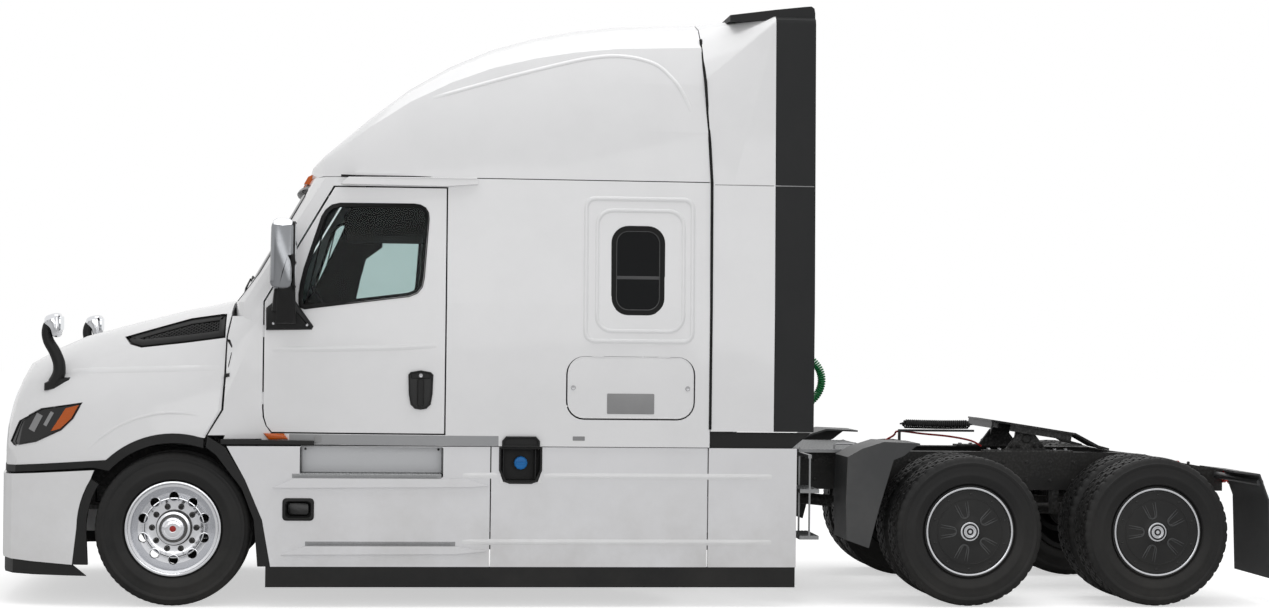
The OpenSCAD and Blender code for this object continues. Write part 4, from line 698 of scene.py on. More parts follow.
# %% Green coiled trailer cable
SLEEPER_BACK = round((FRONT_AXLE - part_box("cab_back_wall")[0][0]) * 1000)
HANG = [(0, 1700), (80, 1700), (200, 1700), (330, 1700), (460, 1700), (560, 1699), (650, 1689), (730, 1655),
    (790, 1600), (820, 1530), (815, 1450), (772, 1377), (690, 1317), (580, 1279), (450, 1263), (320, 1273), (210, 1311),
    (130, 1352), (70, 1378), (30, 1380), (0, 1380)]
def coiled(middle, radius, pitch, ends, per_turn=14):
    """A helix round a line, that starts and ends as a straight cord in the middle of it."""
    line = curve(middle, 10)
    along = [0.0]
    for a, b in zip(line, line[1:]):
        along.append(along[-1] + (b - a).length)
    total, count = along[-1], int(along[-1] / pitch * per_turn)
    xs = np.array([tuple(p) for p in line])
    points, frame_up = [], Vector((0, 1, 0))
    for i in range(count + 1):
        s = total * i / count
        p = Vector([np.interp(s, along, xs[:, k]) for k in range(3)])
        q = Vector([np.interp(min(total, s + 4), along, xs[:, k])
            for k in range(3)]) - Vector([np.interp(max(0, s - 4), along, xs[:, k]) for k in range(3)])
        ahead = q.normalized()
        one = (frame_up - ahead * frame_up.dot(ahead)).normalized()
        two = ahead.cross(one)
        swell = radius * min(1, max(0, s - ends * 0.5) / ends, max(0, total - s - ends * 0.5) / ends)
        turn = tau * s / pitch
        points.append(p + swell * (cos(turn) * one + sin(turn) * two))
    return points
def cord_object(name, points, r):
    data = bpy.data.curves.new(name, "CURVE")
    data.dimensions, data.bevel_depth, data.bevel_resolution, data.use_fill_caps = "3D", r / 1000, 3, True
    spline = data.splines.new("POLY")
    spline.points.add(len(points) - 1)
    for slot_point, p in zip(spline.points, points):
        slot_point.co = (*at(*p), 1)
    spline.use_smooth = True
    obj = bpy.data.objects.new(name, data)
    scene.collection.objects.link(obj)
    return obj
def cord_length(points):
    return sum((Vector(b) - Vector(a)).length for a, b in zip(points, points[1:])) / 1000
CABLE_R = 6.5
route = coiled([(SLEEPER_BACK + 60.3 + d, 600, z) for d, z in HANG], 22.5, 15.5, 46)
cable = cord_object("trailer_cable_coil", route, CABLE_R)
cable.data.materials.append(FINISH["cable_green"])
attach(cable, ROOT)
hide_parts("trailer_cable")
print("cable", len(route), "points,", round(cord_length(route), 2), "m")

# %% [markdown]
# The two air lines are coiled nylon hoses. With no trailer they are pulled together on the
# hose bar ahead of the fifth wheel, so they show as one black spring lying along the bar.

# %% Coiled air hose on its bar
HOSE_MIDDLE = [(5030, 300, 1190), (5120, 300, 1188), (5240, 300, 1186), (5360, 300, 1185), (5460, 300, 1186),
    (5560, 300, 1188)]
HOSE_R = 6.0
coil = coiled(HOSE_MIDDLE, 27.5, 14.5, 26)
hose = cord_object("air_hose_coil", coil, HOSE_R)
hose.data.materials.append(FINISH["hose_black"])
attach(hose, ROOT)
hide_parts("air_hoses")
print("hose", len(coil), "points,", round(cord_length(coil), 2), "m")

# %% [markdown]
# ## Tyres
# A tyre is a profile spun round the axle, with the tread cut where a rule says so. The front
# ones are ribbed for steering: five straight grooves and small notches on the shoulders. The
# drive ones have blocks, so cross grooves are cut too. Each ring of points is pushed in by
# the groove's depth, which is cheaper than cutting and keeps one clean closed skin.

# %% Tyre maker
def tyre_shape(d, y, side, blocky, turns=210):
    half = TYRE_W / 2
    lower = [(RIM_R + 1, 106), (RIM_R + 24, 107), (RIM_R + 34, 124), (RIM_R + 40, 131.5), (RIM_R + 52, 133),
        (RIM_R + 56, 136), (RIM_R + 84, 138.4), (RIM_R + 87, 139.8), (RIM_R + 101, 140), (RIM_R + 104, 138.6),
        (RIM_R + 128, 139), (TYRE_R - 66, 137.6), (TYRE_R - 64, 139), (TYRE_R - 44, 138.6), (TYRE_R - 41, 135),
        (TYRE_R - 26, 129.5)]
    shoulder = [(TYRE_R - 22, 127), (TYRE_R - 11, 120), (TYRE_R - 6.2, 113), (TYRE_R - 4.4, 108)]
    crown, grooves = [], (-78, -28, 28, 78) if blocky else (-80, -40, 0, 40, 80)
    wide = 7 if blocky else 6.5
    levels = [(104, 0)]
    for g in sorted(grooves, reverse=True):
        levels += [(g + wide, 0), (g + wide - 1.5, 1), (g - wide + 1.5, 1), (g - wide, 0)]
    levels += [(-104, 0)]
    for h, cut in levels:
        crown.append((TYRE_R - 4.2 * (abs(h) / 104) ** 2 - (13 if cut else 0), h))
    left = [(r, h) for r, h in lower + shoulder]
    profile = left + crown + [(r, -h) for r, h in reversed(lower + shoulder)]
    rings = []
    for i in range(turns):
        ring = []
        for j, (r, h) in enumerate(profile):
            deep = 0.0
            if r > TYRE_R - 27 and not (abs(h) < 104 and r < TYRE_R - 10):
                if blocky:
                    zone = 0 if abs(h) > 84 else (1 if abs(h) > 26 else 2)
                    if (i + (0, 3, 0)[zone] + (1 if h < 0 else 0)) % 5 == 0:
                        deep = (6, 11, 6)[zone]
                elif abs(h) > 96 and i % 3 == 0:
                    deep = 3.5
            # raised bare panels stand where a tyre's lettering would be
            if RIM_R + 58 < r < RIM_R + 82 and abs(h) > 130:
                deep = -1.2 if (i // 15) % 2 else 0.0
                ring.append((r, h + copysign(-deep, h)))
                continue
            ring.append((r - deep, h - copysign(deep * 0.35 if abs(h) > 100 else 0, h)))
        a = tau * i / turns
        rings.append([(d + r * cos(a), y + side * h, HUB_Z * 1000 + r * sin(a)) for r, h in ring])
    return stack(rings + [rings[0]], cap=False)
FRONT_Y, TWIN_OUT, TWIN_IN = 1040, 1075, 733
for tyre, side in zip(add("ribbed_tyre", tyre_shape(0, FRONT_Y, 1, False), "front_left_wheel", "tyre_rubber", pair=True,
        crease=38), ("left", "right")):
    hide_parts(f"front_tyre_{side}")
for place, d in zip(("front", "rear"), DRIVE):
    twins = join(tyre_shape(d, TWIN_OUT, 1, True), tyre_shape(d, TWIN_IN, 1, True))
    for tyre, side in zip(add(f"block_tyres_{place}", twins, f"drive_{place}_left", "tyre_rubber", pair=True,
            crease=38), ("left", "right")):
        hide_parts(f"drive_tyres_{place}_{side}")
print("tyre faces", len(tyre_shape(0, FRONT_Y, 1, True)[1]))

# %% [markdown]
# ## Front wheels
# The polished disc itself is in the CAD. Blender adds what is fastened to it: ten dark nuts
# on a ring, the grey hub flange, the bright oil cap with its red plug, the rims of the hand
# holes, and the valve.

# %% Front wheel hardware
def round_hub(d, r, n, start=0.0):
    """Places evenly round a wheel: station, height and angle."""
    return [(d + r * cos(tau * i / n + start), HUB_Z * 1000 + r * sin(tau * i / n + start)) for i in range(n)]
def nut(d, y, z, size, long_):
    hexes = [[(d + r * cos(pi / 3 * k), y + h, z + r * sin(pi / 3 * k)) for k in range(6)]
             for r, h in ((size, 0), (size, long_ - 3), (size * 0.82, long_))]
    return join(stack(hexes), turned([(size * 1.25, -2), (size * 1.25, 2), (size, 3)], d, y, z, 16),
        turned([(size * 0.5, long_ - 1), (size * 0.5, long_ + 7), (size * 0.4, long_ + 9)], d, y, z, 10))
hub_mid = HUB_Z * 1000
nuts = join(*[nut(d, FRONT_Y + 38, z, 16, 20) for d, z in round_hub(0, 143, 10)])
add("front_wheel_nuts", nuts, "front_left_wheel", "cast_steel", pair=True)
add("front_hub_ring", turned([(118, 34), (118, 44), (114, 52), (112, 74), (106, 84), (96, 92), (88, 97), (84, 102),
    (72, 103), (72, 98)], 0, FRONT_Y, hub_mid), "front_left_wheel", "engine_grey", pair=True)
add("front_oil_cap", turned([(71, 98), (74, 104), (74, 124), (70, 130), (58, 133), (54, 131), (50, 133), (22, 135),
    (19, 134)], 0, FRONT_Y, hub_mid), "front_left_wheel", "chrome", pair=True)
add("front_oil_plug", turned([(20, 132), (20, 137), (16, 139), (0, 140)], 0, FRONT_Y, hub_mid), "front_left_wheel",
    "hose_red", "dark_rubber", pair=True)
rim = join(turned([(309, 118), (311, 124), (308, 129), (300, 130), (294, 126), (288, 118), (280, 96), (276, 78)], 0,
    FRONT_Y, hub_mid, 96), turned([(196, 52), (198, 57), (192, 58), (188, 53)], 0, FRONT_Y, hub_mid, 64))
add("front_rim_lip", rim, "front_left_wheel", "polished_aluminium", pair=True)
holes = join(*[turned([(30, 46), (33, 66), (36, 71), (32, 72), (28, 66), (28, 46)], d, FRONT_Y, z, 24)
    for d, z in round_hub(0, 208, 10, radians(18))])
add("front_hand_hole_rims", holes, "front_left_wheel", "polished_aluminium", pair=True)
add("front_tyre_valve", pipe([(150, FRONT_Y + 60, hub_mid + 205), (162, FRONT_Y + 88, hub_mid + 222),
    (176, FRONT_Y + 98, hub_mid + 238)], 4.5, 8), "front_left_wheel", "chrome", pair=True)
print("nuts", len(nuts[0]), "corners")

# %% [markdown]
# ## Drive wheel covers
# The drive wheels wear black plastic aero covers. Each is a shallow dish with a bright metal
# ring at its edge, five U-shaped pockets for the hand to pull, and a turned cap on the hub.

# %% Aero covers
def cover(d):
    dish = turned([(279, 112), (279, 122), (272, 127), (262, 126), (238, 128), (208, 131), (120, 134), (84, 135),
        (78, 138), (68, 138), (66, 130)], d, TWIN_OUT, hub_mid, 72)
    ribs = turned([(226, 128.5), (224, 131.5), (218, 132), (216, 130)], d, TWIN_OUT, hub_mid, 72)
    return join(dish, ribs)
DOME = 0.036  # how fast the cover rises towards its middle
def pull_pockets(d):
    shapes = []
    for k in range(5):
        a = radians(180 + 72 * k)
        for lift, wide, thick in ((130.5, 1.0, 5.5), (130.5, 0.6, 4)):
            u = [(200, -46 * wide), (150, -36 * wide), (112, -27 * wide), (98, -14 * wide), (95, 0), (98, 14 * wide),
                (112, 27 * wide), (150, 36 * wide), (200, 46 * wide)]
            line = curve([(d + r * cos(a) - t * sin(a), TWIN_OUT + lift + (205 - r) * DOME,
                hub_mid + r * sin(a) + t * cos(a)) for r, t in u], 3)
            shapes.append(pipe(line, [thick * min(1, 0.3 + 0.2 * min(i, len(line) - 1 - i)) for i in range(len(line))],
                8))
    return join(*shapes)
def hub_bullseye(d):
    return turned([(64, 130), (64, 136), (60, 139), (54, 139), (52, 137), (44, 137), (42, 139.5), (34, 139.5),
        (32, 137.5), (14, 137.5), (12, 140), (0, 140)], d, TWIN_OUT, hub_mid, 48)
for place, d in zip(("front", "rear"), DRIVE):
    body = f"drive_{place}_left"
    add(f"aero_cover_{place}", cover(d), body, "wheel_cover", pair=True)
    # the pocket rims are real ridges; their grey, lighter than the cover, is a painted highlight along their edges
    add(f"cover_pockets_{place}", pull_pockets(d), body, "guard_plastic", "wheel_cover", pair=True)
    add(f"cover_bright_ring_{place}", turned([(299, 112), (300, 124), (297, 129), (291, 130), (286, 128), (284, 118)],
        d, TWIN_OUT, hub_mid, 96), body, "polished_aluminium", pair=True)
    add(f"hub_centre_{place}", hub_bullseye(d), body, "polished_aluminium", pair=True)
    # the two black rings fill the hub's grooves: painted shade in the grooves
    dark = join(turned([(53.5, 137), (52, 139.8), (45, 139.8), (43, 137)], d, TWIN_OUT, hub_mid, 40),
        turned([(24, 137), (23, 140.4), (12, 140.4), (11, 137)], d, TWIN_OUT, hub_mid, 30))
    add(f"hub_dark_rings_{place}", dark, body, "lamp_black", "wheel_cover", pair=True)
    clips = join(*[turned([(9, 118), (9, 129), (6, 131), (0, 131)], x, TWIN_OUT, z, 12)
        for x, z in round_hub(d, 252, 10, 0.3)])
    add(f"cover_clips_{place}", clips, body, "lamp_black", "wheel_cover", pair=True)
print("covers for stations", DRIVE)

# %% [markdown]
# ## Door windows
# A thick rubber channel holds the glass. It is a rim laid on the door's skin, following the
# window's outline; each point is felt for on the door, so that the rubber lies on the curve.

# %% Door window rubber
WINDOW = [(799, 1982), (798, 2040), (806, 2108), (830, 2215), (940, 2556), (966, 2598), (1002, 2628), (1056, 2641),
    (1540, 2642), (1580, 2636), (1612, 2618), (1630, 2588), (1634, 2550), (1606, 2158), (1594, 2102), (1564, 2064),
    (1512, 2042), (872, 1958), (834, 1952), (808, 1962)]
def rubber(outline, node_names, width, lip, default):
    """A rounded rubber lip on a panel, along an outline."""
    fine = refine(outline, 60)
    rings = on_side(node_names, fine, [(-8, -6), (-8, lip * 0.6), (-4, lip), (width - 12, lip), (width - 8, lip * 0.4)],
        default)
    inner = [[(p[0], p[1] - 16, p[2]) for p in rings[-1]]]
    return stack(rings + inner, cap=False)
panel_y = side_of("door_left", 1690, 2300)
seal = rubber(WINDOW, ["door_left"], 30, 5, panel_y)
add("door_window_rubber", seal, "left_door", "dark_rubber", pair=True, crease=50)
divider = on_side(["door_glass_left"], [(832, 1975), (842, 1975), (980, 2600), (970, 2600)], [(0, -2), (0, 6)],
    panel_y - 20)
add("door_window_bar", stack(divider), "left_door", "dark_rubber", pair=True)
print("door window rubber at", round(panel_y))

# %% [markdown]
# ## Door handles
# The pull is a black moulding in a recess: a dished back, an upright bar down the middle to
# grip, and a keyhole over it. A thin rim hides the edge of the painted hole.

# %% Handles
GRIP_D = 1596
GRIP = [(1514, 1525), (1530, 1542), (1596, 1554), (1662, 1542), (1678, 1525), (1674, 1400), (1662, 1330), (1634, 1302),
    (1596, 1296), (1558, 1302), (1530, 1330), (1518, 1400)]
grip_y = side_of("cab_side_walls", 1800, 1420)
rim = frame_plate(GRIP, 9, "y", grip_y - 8, grip_y + 3.5, 1.5)
back = plate(inset(GRIP, 3), "y", grip_y - 34, grip_y - 30, 1)
bar = stack([lay(rounded(GRIP_D - w, GRIP_D + w, 1318, 1496, min(w - 1, 14)), "y", grip_y + h)
    for w, h in ((20, -32), (22, -10), (20, 2), (15, 5))])
top = stack([lay(inset([(1534, 1500), (1534, 1530), (GRIP_D, 1541), (1658, 1530), (1658, 1500)], by), "y", grip_y + h)
    for by, h in ((0, -32), (0, 0), (4, 3))])
add("door_handle", join(rim, bar, top), "left_door", "black_plastic", pair=True)
add("door_handle_dish", back, "left_door", "lamp_black", "black_plastic", pair=True)
add("door_lock", turned([(13, -2), (13, 6), (10, 8), (8, 7), (0, 7)], GRIP_D, grip_y, 1519, 20), "left_door",
    "brushed_steel", "chrome", pair=True)
print("handle at", round(grip_y))

# %% [markdown]
# ## Sleeper window and pressed panels
# The sleeper's side pane sits in a black frame with a fine grey line inside it and a bar
# across. The sheet round it is pressed: a raised rounded band, drawn as a low ridge.

# %% Sleeper window frame
PANE = rounded(2847, 3200, 1935, 2522, 112, 8)
def leaned(outline, width, low, high, cut=1.5):
    """A rim whose inner edge stands over an opening: its places come from the panel round it."""
    def out_at(z):
        return pane_low + (pane_high - pane_low) * (z - 1850) / 750
    rings = [[(p[0], out_at(p[1]) + h, p[1]) for p in inset(outline, by)]
        for by, h in ((-4, low), (-4 + cut, high), (width - cut, high), (width, high - cut), (width, low - 14))]
    return stack(rings, cap=False)
pane_low, pane_high = side_of("cab_side_walls", 2780, 1850), side_of("cab_side_walls", 2780, 2600)
add("sleeper_window_frame", leaned(PANE, 30, -2, 4.5), ROOT, "dark_rubber", pair=True)
add("sleeper_window_line", leaned(inset(PANE, 31), 5, -4, -1, 0.8), ROOT, "guard_plastic", "polished_aluminium",
    pair=True)
bar_y = pane_low + (pane_high - pane_low) * (2180 - 1850) / 750
add("sleeper_window_bar", box((2880, 3168), (bar_y - 12, bar_y - 3), (2170, 2192), 2), ROOT, "guard_plastic",
    "black_plastic", pair=True)
print("sleeper window at", round(pane_low), round(pane_high))

# %% Pressed ridges
def ridge(path, half, high, nodes, close=False, step=60):
    """A low rounded ridge pressed along a line on the side."""
    line = []
    pairs = list(zip(path, path[1:] + (path[:1] if close else [])))
    for a, b in (pairs if close else pairs[:len(path) - 1]):
        n = max(1, ceil(dist(a, b) / step))
        line += [Vector(a).lerp(Vector(b), k / n) for k in range(n)]
    if not close:
        line.append(Vector(path[-1]))
    rings, last = [], HALF_W - 30
    count = len(line)
    for i, p in enumerate(line):
        ahead = (line[(i + 1) % count] - line[i - 1]) if close else (line[min(i + 1, count - 1)] - line[max(i - 1, 0)])
        across = Vector((-ahead.y, ahead.x)).normalized()
        fade = 1.0 if close else min(1, i / 3, (count - 1 - i) / 3)
        ring = []
        for u, h in ((-half, -0.6), (-half * 0.6, high * 0.6), (-half * 0.25, high), (half * 0.25, high),
                (half * 0.6, high * 0.6), (half, -0.6)):
            q = p + across * u
            spot = touch(nodes, (q.x, OUTSIDE, q.y), INWARDS)
            last = spot[1] if spot else last
            ring.append((q.x, last + (h * fade if h > 0 else h), q.y))
        rings.append(ring)
    return stack(rings + ([rings[0]] if close else []), cap=False, closed=False)
outer, inner = rounded(2677, 3388, 1759, 2703, 60, 5), rounded(2751, 3327, 1826, 2626, 100, 6)
press = join(ridge(outer, 17, 8, ["cab_side_walls"], True), ridge(inner, 15, 7, ["cab_side_walls"], True))
add("sleeper_pressing", press, ROOT, "white_paint", pair=True, crease=60)
arch = curve([(1656, 3358, 0), (2000, 3462, 0), (2273, 3541, 0), (2684, 3647, 0), (2925, 3667, 0), (3132, 3621, 0),
    (3250, 3521, 0), (3319, 3421, 0), (3374, 3295, 0)], 5)
add("roof_pressing", ridge([(p.x, p.y) for p in arch], 15, 6, ["roof_fairing"]), ROOT, "white_paint", pair=True,
    crease=60)
crease = [(620, 1680), (1000, 1688), (1400, 1700), (1700, 1718)]
add("door_crease", ridge(crease, 22, 4.5, ["door_left"]), "left_door", "white_paint", pair=True, crease=60)
folds = [ridge(line, 20, 8, ["side_fairings"])
    for line in ([(1880, 866), (2106, 866)], [(2412, 866), (3937, 866)], [(1880, 429), (3937, 429)])]
add("fairing_creases", join(*folds), ROOT, "white_paint", pair=True, crease=60)
# the joint is a real seam; its grey line is partly painted shade on the white extender and partly painted light through
# the gap on the black flap
joint = ridge([(3535, 2808), (4205, 2808)], 4, 0.8, ["side_extenders", "extender_flaps"])
add("extender_joint", joint, ROOT, "plate_grey", "black_plastic", pair=True)
print("pressings done")

# %% [markdown]
# ## Luggage door and small plates
# The luggage door carries a bare grey data plate, and two more small bare plates sit on the
# sill. They stay blank: a plate's place matters, not its words.

# %% Bare plates
def side_plate(name, outline, nodes, high, body, finish_name, slot):
    rings = on_side(nodes, outline, [(0, -1), (0, high - 0.6), (1.2, high)])
    return add(name, stack(rings), body, finish_name, slot, pair=True)
side_plate("luggage_door_plate", rounded(2825, 3139, 1278, 1413, 6, 3), ["luggage_door_left"], 2.5, "left_luggage_door",
    "plate_grey", "polished_aluminium")
sill_y = 1206
lower_plate = plate(rounded(2600, 2680, 1100, 1128, 3, 2), "y", sill_y + 11, sill_y + 13.5, 0.8)
add("sill_plate", lower_plate, ROOT, "plate_grey", "polished_aluminium", pair=True)
groove = ridge(rounded(2568, 3396, 1254, 1651, 104, 6), 4.5, 1.2, ["luggage_door_left"], True)
add("luggage_door_edge", groove, "left_luggage_door", "white_paint", pair=True, crease=60)
for k, d in enumerate((2600, 3362)):
    latch = turned([(16, -3), (16, 3.5), (13, 5), (6, 4), (0, 4)], d, side_of("luggage_door_left", d, 1450), 1450, 20)
    add(f"luggage_latch_{k + 1}", latch, "left_luggage_door", "brushed_steel", "chrome", pair=True)
print("plates done")

# %% [markdown]
# ## Hood vent
# The vent behind the hood's crest is a black parallelogram: a thick raised border round a
# honeycomb of thin ribs. The border follows the hood, felt for point by point from the side.

# %% Hood vent
VENT = [(-355, 1749), (-180, 1801), (74, 1874), (280, 1904), (306, 1905), (306, 1758), (60, 1722), (-240, 1687),
    (-312, 1706)]
def skin_ring(outline, nodes, out, last=1000):
    """Points on the hood's flank, moved out along a slope that is the hood's own."""
    ring = []
    for d, z in outline:
        spot = touch(nodes, (d, OUTSIDE, z), INWARDS)
        last = spot[1] if spot else last
        ring.append((d, last + out, z + out * 0.45))
    return ring
fine = refine(VENT, 50)
vent_rings = [skin_ring(inset(fine, by), ["hood_trim", "hood_shell"], out)
    for by, out in ((-1, -4), (0, 13), (4, 16.5), (36, 16.5), (40, 13), (40, -2))]
add("vent_border", stack(vent_rings, cap=False), "hood", "vent_black", "black_plastic", pair=True, crease=50)
ribs = []
for row in range(-8, 40):
    for col in range(8):
        d, z = -330 + row * 16.5, 1700 + col * 19 + (9.5 if row % 2 else 0) + row * 16.5 * 0.27 * 0.62
        low_z, high_z = np.interp(d, [-312, -240, 60, 306], [1706, 1687, 1722, 1758]), np.interp(d,
            [-355, -180, 74, 280, 306], [1749, 1801, 1874, 1904, 1905])
        if d < -275 or d > 268 or z < low_z + 38 or z > high_z - 38:
            continue
        cell = [(d + 10.2 * cos(radians(60 * k)), z + 10.2 * sin(radians(60 * k))) for k in range(6)]
        levels = [skin_ring(inset(cell, by), ["hood_trim", "hood_shell"], out)
            for by, out in ((0, 2), (0, 9), (2.2, 9), (3.6, 2))]
        ribs.append(stack(levels, cap=False))
add("vent_honeycomb", join(*ribs), "hood", "lamp_black", "black_plastic", pair=True)
print("vent cells", len(ribs))

# %% [markdown]
# ## Headlamps
# Each lamp is one swept-back lens: a dark housing with two pale reflector bands and a
# slanted amber strip at its rear, and a thin black line of seal round it. They lie just
# over the CAD lens block, which becomes the dark housing.

# %% Headlamps
LAMP = [(-1090, 1056), (-1028, 1192), (-875, 1274), (-607, 1316), (-660, 1215), (-735, 1140), (-900, 1062),
    (-1060, 1030)]
NOSE_TURN, NOSE_SHIFT = -980, 380  # ahead of this station the hood curves to the nose
def lamp_ring(outline, out):
    ring, last = [], 1050
    for d, z in outline:
        start, ahead = ((d - NOSE_SHIFT, OUTSIDE, z), (0.62, -1, 0)) if d < NOSE_TURN else ((d, OUTSIDE, z), INWARDS)
        spot = touch(["headlights", "hood_shell"], start, ahead)
        if spot and d < NOSE_TURN:
            ring.append((spot[0] - out * 0.6, spot[1] + out * 0.8, z))
        else:
            last = spot[1] if spot else last
            ring.append((d - out * 0.25, last + out, z))
    return ring
NODES["headlights"].data.materials[0] = FINISH["lamp_black"]
lamp_edge = refine(LAMP, 45)
seal = stack([lamp_ring(inset(lamp_edge, by), out) for by, out in ((-4, -5), (-3, 3.5), (5, 3.5), (7, -3))], cap=False)
add("headlamp_seal", seal, "hood", "lamp_black", "black_plastic", pair=True)
def lamp_band(a, b, width, out):
    """A bright bar lying in the lamp from a to b."""
    line = [Vector(a).lerp(Vector(b), k / 10) for k in range(11)]
    across = Vector((-(b[1] - a[1]), b[0] - a[0])).normalized() * width
    outline = [tuple(p + across) for p in line] + [tuple(p - across) for p in reversed(line)]
    return stack([lamp_ring(outline, -3), lamp_ring(outline, out)])
bands = join(lamp_band((-936, 1132), (-884, 1238), 22, 2.5), lamp_band((-846, 1166), (-800, 1254), 12, 2.5))
add("headlamp_reflectors", bands, "hood", "plate_grey", "chrome", pair=True)
amber = stack([lamp_ring(refine([(-712, 1280), (-626, 1303), (-672, 1216), (-742, 1148), (-804, 1130)], 40), o)
    for o in (-3, 3)])
add("headlamp_amber", amber, "hood", "amber_lens", "lamp_lens", pair=True)
print("headlamp pieces made")

# %% [markdown]
# ## Grille and bumper
# The hood's nose carries a grille of black cross bars behind a rim, and the bumper's intake
# has five more bars with a fog lamp at each end. There is no badge.

# %% Grille bars and bumper intake
def nose_at(y, z, nodes=("grille", "hood_shell")):
    spot = touch(list(nodes), (-1500, y, z), (1, 0, 0))
    return spot[0] if spot else -1180
bars = []
for k in range(8):
    z = 965 + k * 50
    reach = float(np.interp(z, [930, 980, 1180, 1330, 1380], [510, 585, 620, 540, 410]))
    line = [(nose_at(y, z, ("grille",)), y) for y in np.linspace(-reach, reach, 21)]
    section = [(9, -9), (-6, -7), (-10, 0), (-6, 7), (9, 9)]
    bars.append(stack([[(d + a, y, z + b) for a, b in section] for d, y in line]))
add("grille_bars", join(*bars), "hood", "lamp_black", "black_plastic")
RIM = [(0, 930), (520, 930), (600, 980), (640, 1180), (560, 1330), (420, 1380), (0, 1390)]
rim_path = [(y, z) for y, z in RIM] + [(-y, z) for y, z in reversed(RIM[1:-1])]
rim_fine = refine(rim_path, 60)
def nose_ring(by, out):
    ring = []
    for y, z in inset(rim_fine, by):
        spot = touch(["hood_shell", "grille"], (-1500, y, z), (1, 0, 0))
        ring.append(((spot[0] if spot else -1150) - out, y, z))
    return ring
add("grille_rim", stack([nose_ring(-16, -2), nose_ring(-15, 5), nose_ring(-4, 7), nose_ring(4, 2), nose_ring(6, -12)],
    cap=False), "hood", "chrome", crease=50)
low_bars = []
for k in range(5):
    z = 462 + k * 50
    low_bars.append(box((-1160, -1142), (-575, 575), (z - 9, z + 9), 5))
add("bumper_intake_bars", join(*low_bars), ROOT, "black_plastic")
fogs = join(turned([(58, 0), (60, -20), (54, -24), (50, -16), (20, -8), (0, -6)], -1128, 560, 600, 32, "d"))
add("fog_lamps", fogs, ROOT, "chrome", pair=True)
add("fog_lamp_glass", turned([(50, 0), (50, 4), (0, 7)], -1150, 560, 600, 32, "d"), ROOT, "clear_lens", "lamp_lens",
    pair=True)
screws = join(*[turned([(11, 3), (11, -4), (8, -6), (0, -5)], nose_at(y, 760, ("front_bumper",)), y, 770, 12, "d")
    for y in (-500, -180, 180, 500)])
add("bumper_screws", screws, ROOT, "chrome")
print("grille and bumper made")

# %% [markdown]
# ## Mirrors
# The main mirrors hang on black arms with a slanted fin. Their heads have a silvery shell with a
# bright cap and knob on top; a black bezel behind holds a flat glass and a small wide-angle
# one under it. The hood mirrors are smaller, on curved black stalks.

# %% Main mirrors
MIRROR_Y = HALF_W + 25
HEAD = rounded(620, 778, 2069, 2521, 56, 7)
head = stack([[(p[0] + lean * (p[1] - 2290) / 230 * 4, y, p[1]) for p in inset(HEAD, by)]
    for by, y, lean in ((22, MIRROR_Y + 2, 0), (8, MIRROR_Y + 10, 0), (2, MIRROR_Y + 40, 1), (0, MIRROR_Y + 120, 1),
    (2, MIRROR_Y + 205, 1), (10, MIRROR_Y + 232, 0), (26, MIRROR_Y + 243, 0))])
for piece, side in zip(add("mirror_head", head, "left_door", "mirror_shell", pair=True, crease=45), ("left", "right")):
    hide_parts(f"side_mirror_{side}")
cap = layers([(640, 2478), (700, 2470), (764, 2478), (766, 2505), (740, 2523), (664, 2523), (638, 2505)], "y",
    ((6, MIRROR_Y + 1), (0, MIRROR_Y + 8), (-2, MIRROR_Y + 120), (0, MIRROR_Y + 236), (6, MIRROR_Y + 244)))
add("mirror_cap", cap, "left_door", "chrome", pair=True, crease=45)
def behind(d, y0, y1, z0, z1, r, thick):
    return stack([[(dd, y, z) for y, z in inset(rounded(y0, y1, z0, z1, r), by)]
        for dd, by in ((d, 0), (d + thick - 2, 0), (d + thick, 2))])
add("mirror_bezel", join(behind(764, MIRROR_Y + 14, MIRROR_Y + 230, 2082, 2506, 30, 16)), "left_door", "black_plastic",
    pair=True)
add("mirror_glasses", join(behind(779, MIRROR_Y + 24, MIRROR_Y + 220, 2252, 2494, 22, 3),
    behind(779, MIRROR_Y + 24, MIRROR_Y + 220, 2094, 2234, 22, 3)), "left_door", "mirror_glass", "chrome", pair=True)
arm_low = stack([[(x, y, z) for x, z in inset([(620 - s, 1932), (640 - s * 0.6, 2120), (690, 2124), (742 + s, 1926)],
    0)] for s, y in ((2, 1178), (0, 1215), (-8, MIRROR_Y + 14))])
arm = join(arm_low, box((640, 700), (1176, MIRROR_Y + 30), (2112, 2150), 8),
    pipe([(668, 1190, 1960), (662, 1215, 2050), (664, MIRROR_Y + 20, 2130)], [26, 22, 20], 12))
base = layers([(584, 1806), (582, 1950), (690, 2046), (742, 2040), (892, 1834), (880, 1812)], "y",
    ((0, 1128), (0, 1160), (10, 1180), (26, 1190)))
fin = refine([(648, 1850), (778, 1850), (782, 2089), (778, 2270), (764, 2296), (730, 2292), (694, 2180), (664, 2030)],
    40)
fin = stack([[(d, 1184 + 240 * min(1, max(0, (z - 1850) / 230)) + k, z) for d, z in inset(fin, by)]
    for by, k in ((8, 0), (0, 6), (0, 58), (6, 64))])
add("mirror_arm", join(arm, fin), "left_door", "black_plastic", pair=True, crease=45)
add("mirror_base", base, "left_door", "black_plastic", pair=True, crease=50)
screws = join(*[turned([(9, 0), (9, 4), (6, 6), (0, 5)], d, 1186, z, 12)
    for d, z in ((632, 1850), (850, 1842), (700, 1985))])
add("mirror_base_screws", screws, "left_door", "brushed_steel", "chrome", pair=True)
knob = turned([(8, -2), (10, 4), (24, 8), (25, 20), (20, 26), (0, 27)], 700, MIRROR_Y + 60, 2523, 20, "z")
add("mirror_knob", ([(p[0], p[1], min(p[2], 2524.5)) for p in knob[0]], knob[1]), "left_door", "chrome", pair=True)
print("main mirrors made")

